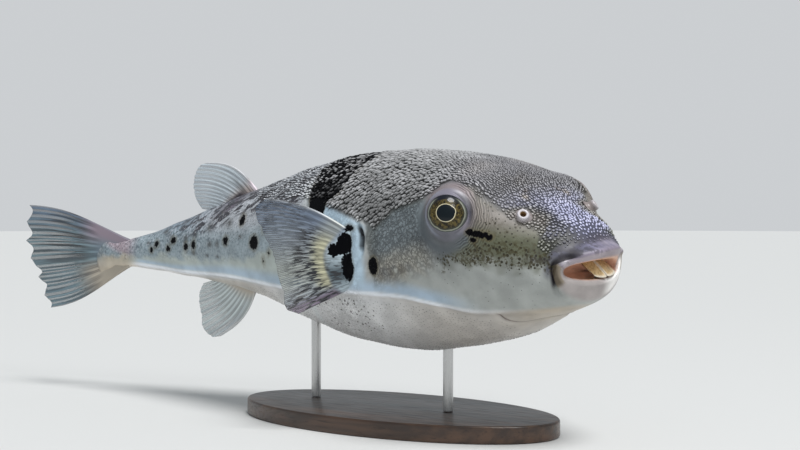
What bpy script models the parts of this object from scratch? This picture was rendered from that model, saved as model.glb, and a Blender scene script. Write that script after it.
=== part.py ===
"""A pufferfish at life size, as a museum model on a plain two-rod stand.

Metres, +Z up. The origin is the middle of the base plate's underside, and the fish's head points to +X.
The body is lofted in straight fish coordinates (back from the snout, out to the fish's right, up), given
as shares of the standard length, and place() then bends it along the spine and stands it over the base.
"""

import math

import bmesh
import bpy
import numpy as np
from mathutils import Matrix, Vector

STANDARD_LENGTH = 0.400  # snout tip to the root of the tail fin
EYE_LEVEL = 0.130  # height of the eyes above the table
MID_BODY = (-0.045, 0.003)  # where the spine's halfway point stands over the base
GAP = 0.0003  # between two pieces that touch
GAP_SHARE = GAP / STANDARD_LENGTH

# The swimming curve: the head turns to the fish's right, and the tail stalk a little back.
HEAD_TURN = math.radians(18)
HEAD_TURN_ENDS = 0.50
HEAD_ROLL = math.radians(6)
ROLL_ENDS = 0.34
ROLL_LEVEL = -0.07
TAIL_TURN = math.radians(-8)
TAIL_TURN_STARTS = 0.75

# Body sections: distance from the snout, top, bottom, half width, level of the widest point,
# and how square the upper and lower halves are (2 is an ellipse).
SECTIONS = np.array([
    (0.000, -0.0715, -0.0970, 0.051, -0.082, 2.5, 2.3),  # rim of the mouth
    (0.010, -0.050, -0.121, 0.063, -0.071, 2.2, 2.1),
    (0.035, -0.0195, -0.134, 0.078, -0.071, 2.0, 2.1),  # snout
    (0.080, 0.006, -0.148, 0.102, -0.063, 2.3, 2.1),  # nostrils
    (0.150, 0.055, -0.180, 0.127, -0.055, 2.7, 2.1),  # eyes
    (0.240, 0.077, -0.201, 0.133, -0.062, 2.5, 2.1),
    (0.330, 0.084, -0.212, 0.132, -0.070, 2.3, 2.1),  # gill slits
    (0.430, 0.081, -0.204, 0.124, -0.073, 2.2, 2.1),
    (0.530, 0.066, -0.180, 0.106, -0.072, 2.1, 2.1),
    (0.640, 0.037, -0.146, 0.081, -0.067, 2.0, 2.0),
    (0.740, 0.010, -0.128, 0.058, -0.066, 2.0, 2.0),  # dorsal and anal fins
    (0.840, -0.021, -0.117, 0.038, -0.070, 2.0, 2.0),
    (0.920, -0.0445, -0.109, 0.024, -0.077, 2.0, 2.0),
    (1.000, -0.062, -0.104, 0.014, -0.083, 2.0, 2.0),  # root of the tail fin
])

# Mouth: the corners lie further back than the lips' middles, and both lips roll forward, the upper more.
MOUTH_SETBACK = 0.024
LIP_ROLL = 0.005
OVERBITE = 0.008
LIP_DEPTH = 0.020
CORNER_CREASE = 0.007
CORNER_PINCH = 0.05
# The hollow of the mouth: distance from the snout, half width, half height.
MOUTH_LEVEL = -0.0845
MOUTH_RISE = 0.004
MOUTH_TILT = 0.07  # the right corner is the lower
MOUTH_HOLLOW = ((0.004, 0.044, 0.0115), (LIP_DEPTH, 0.040, 0.014),
                (0.045, 0.031, 0.013), (0.070, 0.018, 0.008))

# Eyes: where the middle of the cornea lies, how far its orbit bulges, and the way the eye looks.
EYE = (0.152, 0.0015)
EYE_RADIUS = 0.032
EYE_FLATNESS = 0.80
EYE_SUNK = 0.0178
EYE_FORWARD = math.radians(40)
EYE_UPWARD = math.radians(12)
ORBIT_REACH = 0.046
ORBIT_OUT = 0.019
ORBIT_UP = 0.012

# Nostrils: short open tubes on the snout.
NOSTRIL = (0.078, 0.064)
NOSTRIL_HEIGHT = 0.010
NOSTRIL_RADIUS = 0.0075
NOSTRIL_BORE = 0.0042
NOSTRIL_LEAN = 0.45  # forward and outward

# Where the whole animal is parted into named pieces.
HEAD_ENDS = 0.335
TRUNK_ENDS = 0.800
RING_POINTS = 40

# Stand
BASE_LENGTH = 0.220
BASE_WIDTH = 0.110
BASE_THICKNESS = 0.010
BASE_BEVEL = 0.0015
ROD_RADIUS = 0.003
ROD_SOCKET_DEPTH = 0.014
ROD_PLACES = (0.29, 0.55)  # front and rear rod, along the body


def smooth_curve(knots, values):
    """A curve through the points that never overshoots them, as a function of the distance."""
    knots, values = np.asarray(knots, float), np.asarray(values, float)
    steps = np.diff(knots)
    slopes = np.diff(values) / steps
    tangents = np.concatenate([slopes[:1], np.zeros(len(knots) - 2), slopes[-1:]])
    for i in range(1, len(knots) - 1):
        before, after = slopes[i - 1], slopes[i]
        if before * after > 0:
            heavy, light = 2 * steps[i] + steps[i - 1], steps[i] + 2 * steps[i - 1]
            tangents[i] = (heavy + light) / (heavy / before + light / after)

    def curve(at):
        at = np.asarray(at, float)
        k = np.clip(np.searchsorted(knots, at) - 1, 0, len(steps) - 1)
        h = steps[k]
        u = np.clip((at - knots[k]) / h, 0, 1)
        ends = (2 * u**3 - 3 * u**2 + 1) * values[k] + (3 * u**2 - 2 * u**3) * values[k + 1]
        return ends + h * ((u**3 - 2 * u**2 + u) * tangents[k] + (u**3 - u**2) * tangents[k + 1])

    return curve


# The sections follow the square root of the distance, which rounds the snout off.
SECTION_CURVES = [smooth_curve(np.sqrt(SECTIONS[:, 0]), SECTIONS[:, i]) for i in range(1, 7)]


def hump(x, middle, width):
    return np.exp(-(((x - middle) / width) ** 2))


def section_point(back, turn, grow=0.0):
    """(out, up) of the plain body: turn runs from the fish's right over its back."""
    top, bottom, half, level, upper, lower = (c(np.sqrt(np.clip(back, 0, 1))) for c in SECTION_CURVES)
    across, height = np.cos(turn), np.sin(turn)
    power = 2 / np.where(height >= 0, upper, lower)
    reach = np.where(height >= 0, top - level, level - bottom) + grow
    out = (half + grow) * np.sign(across) * np.abs(across) ** power
    return out, level + reach * np.sign(height) * np.abs(height) ** power


def mouth_shift(back, out):
    """How far the mouth is raised, and tilted to one side, fading back along the head."""
    return (MOUTH_RISE - MOUTH_TILT * out) * np.exp(-np.maximum(back, 0) / 0.02)


def skin_point(back, turn, grow=0.0):
    """(back, out, up) of the skin, with the rolled lips, the creased mouth corners and the orbits."""
    back, turn = np.asarray(back, float), np.asarray(turn, float)
    out, up = section_point(back, turn, grow)
    corner = np.cos(turn) ** 2
    roll = LIP_ROLL + OVERBITE * np.sin(turn)
    out = out * (1 - CORNER_PINCH * np.exp(-((np.sin(turn) / 0.35) ** 2) - (back / 0.006) ** 2))
    shifted = back + MOUTH_SETBACK * corner * np.exp(-back / 0.03) - roll * hump(back, 0.005, 0.006)
    crease = 1 - CORNER_CREASE / 0.08 * corner * hump(back, 0.030, 0.010)
    out = out * crease
    for side in (1, -1):
        away = (shifted - EYE[0]) ** 2 + (out - side * 0.120) ** 2 + (up - EYE[1]) ** 2
        bulge = np.exp(-((away / ORBIT_REACH**2) ** 1.5))
        out = out + side * ORBIT_OUT * bulge
        up = up + ORBIT_UP * bulge
    return shifted, out, up + mouth_shift(back, out)


def spine_table():
    """Plan of the spine: distances back, and the heading, X and Y there, as shares of the length."""
    back = np.linspace(-0.1, 1.3, 1401)
    heading = HEAD_TURN * np.clip(1 - back / HEAD_TURN_ENDS, 0, 2) ** 1.5
    heading += TAIL_TURN * np.clip((back - TAIL_TURN_STARTS) / (1 - TAIL_TURN_STARTS), 0, 2) ** 1.5
    middle = (heading[1:] + heading[:-1]) / 2
    x = -np.concatenate([[0], np.cumsum(np.cos(middle) * np.diff(back))])
    y = np.concatenate([[0], np.cumsum(np.sin(middle) * np.diff(back))])
    half = np.searchsorted(back, 0.5)
    return back, heading, x - x[half], y - y[half]


SPINE = spine_table()


def roll_at(back):
    """How far the head rolls over to its right at a distance along the spine."""
    return HEAD_ROLL * np.clip(1 - (np.maximum(back, 0) / ROLL_ENDS) ** 2, 0, 1) ** 2


def place(back, out, up):
    """World points, in metres, of fish coordinates given as shares of the length."""
    back, out, up = np.broadcast_arrays(*(np.asarray(v, float) for v in (back, out, up)))
    roll, high = roll_at(back), up - ROLL_LEVEL
    out, up = out * np.cos(roll) + high * np.sin(roll), ROLL_LEVEL + high * np.cos(roll) - out * np.sin(roll)
    heading, x, y = (np.interp(back, SPINE[0], column) for column in SPINE[1:])
    x = MID_BODY[0] + STANDARD_LENGTH * (x - out * np.sin(heading))
    y = MID_BODY[1] + STANDARD_LENGTH * (y - out * np.cos(heading))
    return np.stack([x, y, EYE_LEVEL + STANDARD_LENGTH * up], -1)


def fish_axes(back):
    """Unit vectors forward, right and up at a distance along the spine."""
    heading = float(np.interp(back, SPINE[0], SPINE[1]))
    forward = Vector((math.cos(heading), -math.sin(heading), 0))
    level, high = Vector((-math.sin(heading), -math.cos(heading), 0)), Vector((0, 0, 1))
    cos, sin = math.cos(roll_at(back)), math.sin(roll_at(back))
    return forward, level * cos - high * sin, level * sin + high * cos


# ---------------------------------------------------------------- scene and materials


def clear_scene():
    for old in list(bpy.data.objects):
        bpy.data.objects.remove(old)


def make_collections():
    """The collection of the fish and its stand, and the one of the cutters."""
    found = []
    for name in ("pufferfish", "cutters"):
        collection = bpy.data.collections.new(name)
        bpy.context.scene.collection.children.link(collection)
        found.append(collection)
    return found


def make_material(name, colour, roughness, metallic=0.0):
    material = bpy.data.materials.new(name)
    material.use_nodes = True
    shader = material.node_tree.nodes["Principled BSDF"]
    shader.inputs["Base Color"].default_value = (*colour, 1)
    shader.inputs["Roughness"].default_value = roughness
    shader.inputs["Metallic"].default_value = metallic
    return material


def add_object(name, mesh, material, collection):
    made = bpy.data.objects.new(name, mesh)
    collection.objects.link(made)
    if material:
        mesh.materials.append(material)
        mesh.shade_smooth()
        mesh.set_sharp_from_angle(angle=math.radians(50))
    return made


def mesh_of_rings(name, rings, closed_loop=False, strip_caps=False):
    """A closed mesh lofted through rings of equal length: capped at both ends, or joined end to end.

    A strip cap joins a flattened ring's two halves point to point, so that it follows their curve.
    """
    points = np.asarray(rings, float)
    count, around = points.shape[:2]
    corners = points.reshape(-1, 3)
    faces = []
    for i in range(count if closed_loop else count - 1):
        a, b = i * around, (i + 1) % count * around
        for j in range(around):
            k = (j + 1) % around
            faces.append((a + j, a + k, b + k, b + j))
    for first in () if closed_loop else (0, (count - 1) * around):
        if strip_caps:
            faces += [(first + i, first + i + 1, first + around - 2 - i, first + around - 1 - i)
                      for i in range(around // 2 - 1)]
        else:
            faces.append(tuple(range(first, first + around)))
    mesh = bpy.data.meshes.new(name)
    mesh.from_pydata(corners.tolist(), [], faces)
    tidy = bmesh.new()
    tidy.from_mesh(mesh)
    bmesh.ops.recalc_face_normals(tidy, faces=tidy.faces)
    if tidy.calc_volume(signed=True) < 0:
        bmesh.ops.reverse_faces(tidy, faces=tidy.faces)
    tidy.to_mesh(mesh)
    tidy.free()
    return mesh


def cut(piece, cutter):
    """Takes the cutter out of the piece, and keeps the cutter as a hidden helper."""
    modifier = piece.modifiers.new("cut_" + cutter.name, "BOOLEAN")
    modifier.operation = "DIFFERENCE"
    modifier.solver = "EXACT"
    modifier.object = cutter
    cutter.hide_render = True
    cutter.display_type = "WIRE"


# ---------------------------------------------------------------- body


def ring_turns():
    return np.linspace(0, 2 * math.pi, RING_POINTS, endpoint=False)


def body_rings(backs, grow=0.0):
    turns = ring_turns()
    return [place(*skin_point(np.full_like(turns, b), turns, grow)) for b in backs]


def hollow_ring(back, half_width, half_height, turns):
    """A ring of the mouth's inner wall, set back at its corners like the lips."""
    shifted = back + MOUTH_SETBACK * np.cos(turns) ** 2 * math.exp(-back / 0.03)
    out = half_width * np.cos(turns)
    return place(shifted, out, MOUTH_LEVEL + half_height * np.sin(turns) + mouth_shift(back, out))


def head_mesh():
    """From the gill line forward to the back of the lips, then in again as the hollow of the mouth."""
    outer = LIP_DEPTH + 2 * GAP_SHARE
    backs = outer + (HEAD_ENDS - outer) * np.linspace(1, 0, 19) ** 1.35
    rings = body_rings(backs)
    turns = ring_turns()
    wall = MOUTH_HOLLOW[1:]
    rings += [hollow_ring(outer if i == 0 else row[0], *row[1:], turns) for i, row in enumerate(wall)]
    return mesh_of_rings("head", rings)


LIP_STEPS = np.array([1.0, 0.7, 0.45, 0.25, 0.10, 0.0])


def lip_mesh(name, first_turn, last_turn):
    """One lip: a fleshy roll swept from one corner of the mouth to the other."""
    rings = []
    inner = [turn for turn in ring_turns() if first_turn < turn < last_turn]
    for turn in (first_turn, *inner, last_turn):
        spot = np.array([turn])
        ring = [place(*skin_point(np.array([LIP_DEPTH * share]), spot))[0] for share in LIP_STEPS]
        front, rear = np.array(MOUTH_HOLLOW[0]), np.array(MOUTH_HOLLOW[1])
        ring += [hollow_ring(*(front + (rear - front) * share), spot)[0] for share in LIP_STEPS[::-1]]
        rings.append(ring)
    return mesh_of_rings(name, rings, strip_caps=True)


def tooth_mesh(name, side, upper):
    """A quarter of the beak: a curved plate behind one lip, from the middle seam to the side."""
    thick = 0.006
    reach, front, slope = (0.0190, 0.0024, 0.011) if upper else (0.0045, 0.0150, 0.0)
    sign = 1 if upper else -1
    rings = []
    for turn in np.linspace(math.radians(3), math.radians(32), 7):
        across = side * math.sin(turn)
        wall = 0.0395 * across
        back = front + MOUTH_SETBACK * across**2
        root = MOUTH_LEVEL + sign * (0.0120 * math.cos(turn) - 0.0005) + mouth_shift(back + slope, wall)
        edge = root - sign * reach * (1 - 0.45 * (turn / math.radians(32)) ** 2)
        ring = [(back + slope, wall, root), (back, wall, edge),
                (back + 0.35 * thick, wall * 0.97, edge - sign * 0.001), (back + thick, wall * 0.93, edge),
                (back + slope + thick, wall * 0.90, root)]
        rings.append([place(*point) for point in ring])
    return mesh_of_rings(name, rings)


# ---------------------------------------------------------------- eyes and nostrils


def orbit_point(side):
    """Where the middle of the cornea meets the skin, found by turning round the section at the eye."""
    turns = np.radians(np.linspace(-40, 80, 241))
    turns = turns if side > 0 else math.pi - turns
    back, out, up = skin_point(np.full_like(turns, EYE[0]), turns)
    nearest = int(np.argmin(np.abs(up - EYE[1])))
    return back[nearest], out[nearest], up[nearest]


def eye_axis(side):
    forward, right, upward = fish_axes(EYE[0])
    level = forward * math.sin(EYE_FORWARD) + right * side * math.cos(EYE_FORWARD)
    return (level * math.cos(EYE_UPWARD) + upward * math.sin(EYE_UPWARD)).normalized()


def eye_ball(name, side, material, collection, grow=0.0):
    """An eyeball flattened along the way it looks, sunk into its orbit."""
    axis = eye_axis(side)
    middle = Vector(place(*orbit_point(side))) - axis * EYE_SUNK * STANDARD_LENGTH
    radius = EYE_RADIUS * STANDARD_LENGTH
    ball = bmesh.new()
    bmesh.ops.create_uvsphere(ball, u_segments=20, v_segments=12, radius=1)
    bmesh.ops.scale(ball, verts=ball.verts, vec=(radius + grow, radius + grow, radius * EYE_FLATNESS + grow))
    mesh = bpy.data.meshes.new(name)
    ball.to_mesh(mesh)
    ball.free()
    made = add_object(name, mesh, material, collection)
    made.matrix_world = Matrix.Translation(middle) @ axis.to_track_quat("Z", "Y").to_matrix().to_4x4()
    return made


def nostril_tube(name, side, material, collection):
    """A short tapered tube, turned round its own axis and stood on the snout's slope."""
    back, out_wanted = NOSTRIL
    turns = np.radians(np.linspace(5, 85, 161))
    turns = turns if side > 0 else math.pi - turns
    spots = np.stack(skin_point(np.full_like(turns, back), turns), -1)
    nearest = int(np.argmin(np.abs(np.abs(spots[:, 1]) - out_wanted)))
    foot = Vector(place(*spots[nearest]))
    along = Vector(place(*spots[nearest + 1])) - Vector(place(*spots[nearest - 1]))
    forward = fish_axes(back)[0]
    axis = along.cross(forward).normalized() * side
    axis = axis if axis.z > 0 else -axis
    axis = (axis + NOSTRIL_LEAN * (forward + fish_axes(back)[1] * side)).normalized()
    height, radius, bore = (v * STANDARD_LENGTH for v in (NOSTRIL_HEIGHT, NOSTRIL_RADIUS, NOSTRIL_BORE))
    profile = [(bore, -0.2 * height), (bore, height * 0.9), (bore * 1.15, height), (radius * 0.8, height),
               (radius * 0.92, height * 0.8), (radius, height * 0.4), (radius * 1.5, -0.2 * height)]
    steps = 12
    rings = [[(r * math.cos(a), r * math.sin(a), z) for r, z in profile]
             for a in np.linspace(0, 2 * math.pi, steps, endpoint=False)]
    made = add_object(name, mesh_of_rings(name, rings, closed_loop=True), material, collection)
    made.matrix_world = Matrix.Translation(foot) @ axis.to_track_quat("Z", "Y").to_matrix().to_4x4()
    return made


# ---------------------------------------------------------------- fins


def fin_mesh(name, fin, rays=12, steps=7):
    """A thin fan: each ray is a curve in fish coordinates, thick at its root and 0.5 mm at its end."""
    grid = np.array([[fin(u, v) for v in np.linspace(0, 1, steps)] for u in np.linspace(0, 1, rays)])
    points = place(grid[..., 0], grid[..., 1], grid[..., 2])
    along = np.gradient(points, axis=1)
    across = np.gradient(points, axis=0)
    normal = np.cross(across, along)
    normal /= np.linalg.norm(normal, axis=-1, keepdims=True)
    half = (grid[..., 3] * STANDARD_LENGTH / 2)[..., None] * normal
    sides = np.concatenate([points + half, (points - half)[:, ::-1]], axis=1)
    return mesh_of_rings(name, sides)


def fin_thickness(v, root=0.0075, end=0.0014):
    return end + (root - end) * (1 - v) ** 2


def median_fin(first_root, last_root, angles, lengths, bow, lean=0.0):
    """A fin in the middle plane. Roots are (back, up); rays turn from the first angle to the last."""
    longest = smooth_curve([0, 0.12, 0.25, 0.5, 0.75, 1], lengths)

    def fin(u, v):
        back = first_root[0] + (last_root[0] - first_root[0]) * u
        up = first_root[1] + (last_root[1] - first_root[1]) * u
        angle = angles[0] + (angles[1] - angles[0]) * u
        reach = float(longest(u)) * v
        bulge = bow * math.sin(math.pi * v) * (1 - u)
        back += reach * math.cos(angle) - bulge * math.sin(angle)
        up += reach * math.sin(angle) + bulge * math.cos(angle)
        return back, lean * v**2, up, fin_thickness(v)

    return fin


def caudal_fin(u, v):
    """The tail fin, from its upper edge to its lower, with a shallow fork."""
    angle = math.radians(14.75 - 37.65 * u)
    reach = 0.2165 + 0.035 * (1 - u) ** 3
    bow = 0.0125 * math.sin(math.pi * v * math.sqrt(abs(v))) * (1 - 2 * u)
    root_back = 0.960 + 0.012 * math.sin(math.pi * u)
    root_up = -0.060 - 0.040 * u
    back = root_back + reach * v * math.cos(angle) - bow * math.sin(angle)
    up = root_up + reach * v * math.sin(angle) + bow * math.cos(angle)
    return back, 0.010 * v**2 * math.sin(2 * math.pi * u), up, fin_thickness(v, root=0.016)


PECTORAL_ROOT = (0.370, 0.116)
PECTORAL_SPREAD = math.radians(32)
PECTORAL_RAYS = smooth_curve([0, 0.09, 0.25, 0.5, 0.75, 0.91, 1],
                             [0.138, 0.146, 0.124, 0.099, 0.096, 0.102, 0.088])


def pectoral_fin(side):
    """A pectoral fin, spread from the flank, cupped, from its top ray to its lowest."""

    def fin(u, v):
        angle = math.radians(21 - 46 * u)
        reach = float(PECTORAL_RAYS(u)) * v
        run = 0.004 + 0.020 * math.sin(math.pi * u) + reach * math.cos(angle)
        up = -0.036 - 0.080 * u + reach * math.sin(angle) + 0.010 * (1 - u) * math.sin(math.pi * v)
        cup = 0.020 * math.sin(math.pi * u) * v**1.5 - 0.016 * v**2
        back = PECTORAL_ROOT[0] + run * math.cos(PECTORAL_SPREAD) + cup * math.sin(PECTORAL_SPREAD)
        out = PECTORAL_ROOT[1] + run * math.sin(PECTORAL_SPREAD) - cup * math.cos(PECTORAL_SPREAD)
        return back, side * out, up, fin_thickness(v, root=0.020)

    return fin


# ---------------------------------------------------------------- stand


def stand_base(material, collection):
    """An oval plate with eased edges, flat on the table."""
    plate = bmesh.new()
    bmesh.ops.create_cone(plate, cap_ends=True, segments=48, radius1=0.5, radius2=0.5, depth=BASE_THICKNESS)
    bmesh.ops.scale(plate, verts=plate.verts, vec=(BASE_LENGTH, BASE_WIDTH, 1))
    bmesh.ops.translate(plate, verts=plate.verts, vec=(0, 0, BASE_THICKNESS / 2))
    mesh = bpy.data.meshes.new("stand_base")
    plate.to_mesh(mesh)
    plate.free()
    made = add_object("stand_base", mesh, material, collection)
    bevel = made.modifiers.new("eased_edges", "BEVEL")
    bevel.width = BASE_BEVEL
    bevel.segments = 2
    bevel.limit_method = "ANGLE"
    bevel.angle_limit = math.radians(60)
    return made


def rod_span(place_along):
    """(foot, top) of a rod: from the plate up into its socket in the belly."""
    foot = Vector(place(place_along, 0, 0))
    belly = place(*skin_point(place_along, -math.pi / 2))[2]
    return Vector((foot.x, foot.y, BASE_THICKNESS + GAP)), Vector((foot.x, foot.y, belly + ROD_SOCKET_DEPTH))


def stand_rod(name, place_along, material, collection, grow=0.0):
    foot, top = rod_span(place_along)
    rod = bmesh.new()
    length = top.z - foot.z + grow
    bmesh.ops.create_cone(rod, cap_ends=True, segments=20, radius1=ROD_RADIUS + grow,
                          radius2=ROD_RADIUS + grow, depth=length)
    bmesh.ops.translate(rod, verts=rod.verts, vec=(0, 0, length / 2))
    mesh = bpy.data.meshes.new(name)
    rod.to_mesh(mesh)
    rod.free()
    made = add_object(name, mesh, material, collection)
    made.location = foot
    return made


# ---------------------------------------------------------------- the whole model


def build_body(fish, cutters, back_skin, lip_skin, enamel):
    head = add_object("head", head_mesh(), back_skin, fish)
    trunk_backs = np.linspace(HEAD_ENDS + GAP_SHARE, TRUNK_ENDS, 15)
    trunk = add_object("trunk", mesh_of_rings("trunk", body_rings(trunk_backs)), back_skin, fish)
    tail_backs = np.linspace(TRUNK_ENDS + GAP_SHARE, 1.0, 8)
    tail = add_object("tail_stalk", mesh_of_rings("tail_stalk", body_rings(tail_backs)), back_skin, fish)
    margin = math.radians(0.8)
    add_object("lip_upper", lip_mesh("lip_upper", margin, math.pi - margin), lip_skin, fish)
    add_object("lip_lower", lip_mesh("lip_lower", math.pi + margin, 2 * math.pi - margin), lip_skin, fish)
    for side, word in ((1, "right"), (-1, "left")):
        for upper, row in ((True, "upper"), (False, "lower")):
            name = f"tooth_{row}_{word}"
            add_object(name, tooth_mesh(name, side, upper), enamel, fish)
    return head, trunk, tail


def build_fins(fish, cutters, fin_skin, tail):
    """The fins, their roots trimmed to the skin. The tail stalk is trimmed to the tail fin instead."""
    trim_rings = body_rings(np.linspace(0.30, 0.97, 34), GAP_SHARE)
    trim = add_object("trim_body", mesh_of_rings("trim_body", trim_rings), None, cutters)
    dorsal = median_fin((0.668, 0.022), (0.755, -0.008), (math.radians(22), math.radians(5)),
                        (0.1425, 0.148, 0.142, 0.122, 0.093, 0.055), 0.018, lean=-0.008)
    anal = median_fin((0.674, -0.126), (0.756, -0.116), (math.radians(-48), math.radians(-18)),
                      (0.1205, 0.131, 0.128, 0.102, 0.076, 0.040), -0.0145, lean=0.006)
    fins = [("dorsal_fin", dorsal), ("anal_fin", anal)]
    fins += [(f"pectoral_fin_{word}", pectoral_fin(side)) for side, word in ((1, "right"), (-1, "left"))]
    for name, shape in fins:
        cut(add_object(name, fin_mesh(name, shape), fin_skin, fish), trim)
    add_object("caudal_fin", fin_mesh("caudal_fin", caudal_fin, rays=16), fin_skin, fish)
    slot = add_object("slot_caudal_fin", fin_mesh("slot", widened(caudal_fin), rays=16), None, cutters)
    cut(tail, slot)


def widened(fin):
    """The same fin, thicker by the gap on each side and a little deeper at its root, as a cutter."""

    def wider(u, v):
        stretched = -0.004 + 1.004 * v
        spread = -0.01 + 1.02 * u
        back, out, up, thickness = fin(spread, max(stretched, 0) if stretched >= 0 else stretched)
        return back, out, up, thickness + 2.4 * GAP_SHARE

    return wider


def build_eyes_and_nostrils(fish, cutters, head, glass, back_skin):
    for side, word in ((1, "right"), (-1, "left")):
        eye_ball(f"eye_{word}", side, glass, fish)
        cut(head, eye_ball(f"socket_{word}", side, None, cutters, grow=GAP))
    trim_rings = body_rings(np.linspace(0.022, 0.30, 40), GAP_SHARE)
    trim = add_object("trim_head", mesh_of_rings("trim_head", trim_rings), None, cutters)
    for side, word in ((1, "right"), (-1, "left")):
        cut(nostril_tube(f"nostril_{word}", side, back_skin, fish), trim)


def build_stand(fish, cutters, wood, steel, head, trunk):
    stand_base(wood, fish)
    for word, place_along, piece in (("front", ROD_PLACES[0], head), ("rear", ROD_PLACES[1], trunk)):
        stand_rod(f"stand_rod_{word}", place_along, steel, fish)
        cut(piece, stand_rod(f"rod_socket_{word}", place_along, None, cutters, grow=GAP))


def main():
    clear_scene()
    fish, cutters = make_collections()
    back_skin = make_material("back_skin", (0.30, 0.28, 0.26), 0.45)
    lip_skin = make_material("lip_skin", (0.72, 0.64, 0.62), 0.35)
    fin_skin = make_material("fin_skin", (0.50, 0.50, 0.50), 0.45)
    enamel = make_material("enamel", (0.86, 0.78, 0.62), 0.25)
    glass = make_material("eye_glass", (0.12, 0.09, 0.04), 0.08)
    wood = make_material("stand_wood", (0.10, 0.06, 0.04), 0.40)
    steel = make_material("stand_steel", (0.60, 0.60, 0.60), 0.30, metallic=1.0)
    head, trunk, tail = build_body(fish, cutters, back_skin, lip_skin, enamel)
    build_fins(fish, cutters, fin_skin, tail)
    build_eyes_and_nostrils(fish, cutters, head, glass, back_skin)
    build_stand(fish, cutters, wood, steel, head, trunk)


main()
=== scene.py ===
import math

import bmesh
import bpy
import numpy as np
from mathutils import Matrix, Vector


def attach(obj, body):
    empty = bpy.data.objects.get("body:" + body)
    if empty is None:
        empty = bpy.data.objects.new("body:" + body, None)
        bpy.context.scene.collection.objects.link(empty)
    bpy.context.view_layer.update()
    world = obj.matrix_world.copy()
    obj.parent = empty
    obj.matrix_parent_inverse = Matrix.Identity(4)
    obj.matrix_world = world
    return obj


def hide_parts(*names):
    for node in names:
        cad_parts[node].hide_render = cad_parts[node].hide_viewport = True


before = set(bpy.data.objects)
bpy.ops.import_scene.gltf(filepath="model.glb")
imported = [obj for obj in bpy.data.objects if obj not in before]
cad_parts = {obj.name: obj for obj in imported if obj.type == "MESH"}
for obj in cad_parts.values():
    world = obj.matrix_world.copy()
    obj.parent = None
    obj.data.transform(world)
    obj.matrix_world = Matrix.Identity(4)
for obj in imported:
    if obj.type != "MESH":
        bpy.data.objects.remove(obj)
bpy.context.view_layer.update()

# ================================================================ Skin
# One unbroken painted skin over the head, trunk, tail stalk and lips, cast in resin.
# It is lofted along the bent spine, in fish coordinates: back from the snout, out to the fish's
# right, and up from eye level, all as shares of the standard length.

STANDARD_LENGTH = 0.400
EYE_LEVEL = 0.130
MID_BODY = (-0.045, 0.003)
HEAD_TURN = math.radians(18)
HEAD_TURN_ENDS = 0.50
HEAD_ROLL = math.radians(6)
ROLL_ENDS = 0.34
ROLL_LEVEL = -0.07
TAIL_TURN = math.radians(-8)
TAIL_TURN_STARTS = 0.75
# distance back, top, bottom, half width, level of the widest point, squareness above and below
SECTIONS = np.array([
    (0.000, -0.0715, -0.0970, 0.051, -0.082, 2.5, 2.3),
    (0.010, -0.050, -0.121, 0.063, -0.071, 2.2, 2.1),
    (0.035, -0.0195, -0.134, 0.078, -0.071, 2.0, 2.1),
    (0.080, 0.006, -0.148, 0.102, -0.063, 2.3, 2.1),
    (0.150, 0.055, -0.180, 0.127, -0.055, 2.7, 2.1),
    (0.240, 0.077, -0.201, 0.133, -0.062, 2.5, 2.1),
    (0.330, 0.084, -0.212, 0.132, -0.070, 2.3, 2.1),
    (0.430, 0.081, -0.204, 0.124, -0.073, 2.2, 2.1),
    (0.530, 0.066, -0.180, 0.106, -0.072, 2.1, 2.1),
    (0.640, 0.037, -0.146, 0.081, -0.067, 2.0, 2.0),
    (0.740, 0.010, -0.128, 0.058, -0.066, 2.0, 2.0),
    (0.840, -0.021, -0.117, 0.038, -0.070, 2.0, 2.0),
    (0.920, -0.0445, -0.109, 0.024, -0.077, 2.0, 2.0),
    (1.000, -0.062, -0.104, 0.014, -0.083, 2.0, 2.0),
])
COAT_DEPTH = 0.0012
MOUTH_SETBACK = 0.024
LIP_ROLL = 0.005
OVERBITE = 0.008
CORNER_CREASE = 0.007
CORNER_PINCH = 0.05
MOUTH_LEVEL = -0.0845
MOUTH_RISE = 0.004
MOUTH_TILT = 0.07
OPENING_TILT = 0.085
EYE = (0.152, 0.0015)
EYE_RADIUS = 0.032
EYE_FLATNESS = 0.80
EYE_SUNK = 0.0178
EYE_FORWARD = math.radians(40)
EYE_UPWARD = math.radians(12)
ORBIT_REACH = 0.046
ORBIT_OUT = 0.019
ORBIT_UP = 0.012


def smooth_curve(knots, values):
    """A curve through the points that never overshoots them, as a function of the distance."""
    knots, values = np.asarray(knots, float), np.asarray(values, float)
    steps = np.diff(knots)
    slopes = np.diff(values) / steps
    tangents = np.concatenate([slopes[:1], np.zeros(len(knots) - 2), slopes[-1:]])
    for i in range(1, len(knots) - 1):
        before, after = slopes[i - 1], slopes[i]
        if before * after > 0:
            heavy, light = 2 * steps[i] + steps[i - 1], steps[i] + 2 * steps[i - 1]
            tangents[i] = (heavy + light) / (heavy / before + light / after)

    def curve(at):
        at = np.asarray(at, float)
        k = np.clip(np.searchsorted(knots, at) - 1, 0, len(steps) - 1)
        h = steps[k]
        u = np.clip((at - knots[k]) / h, 0, 1)
        ends = (2 * u**3 - 3 * u**2 + 1) * values[k] + (3 * u**2 - 2 * u**3) * values[k + 1]
        return ends + h * ((u**3 - 2 * u**2 + u) * tangents[k] + (u**3 - u**2) * tangents[k + 1])

    return curve


def hump(x, middle, width):
    """A bell: 1 in the middle, and nearly 0 at twice the width from it."""
    return np.exp(-(((x - middle) / width) ** 2))


def ease(x, low, high):
    """0 below low and 1 above high, with a smooth step between them."""
    t = np.clip((x - low) / (high - low), 0, 1)
    return t * t * (3 - 2 * t)


def fall(x, low, high):
    """1 below low and 0 above high, the other way round from ease."""
    return 1 - ease(x, low, high)


SECTION_CURVES = [smooth_curve(np.sqrt(SECTIONS[:, 0]), SECTIONS[:, i]) for i in range(1, 7)]


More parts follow.
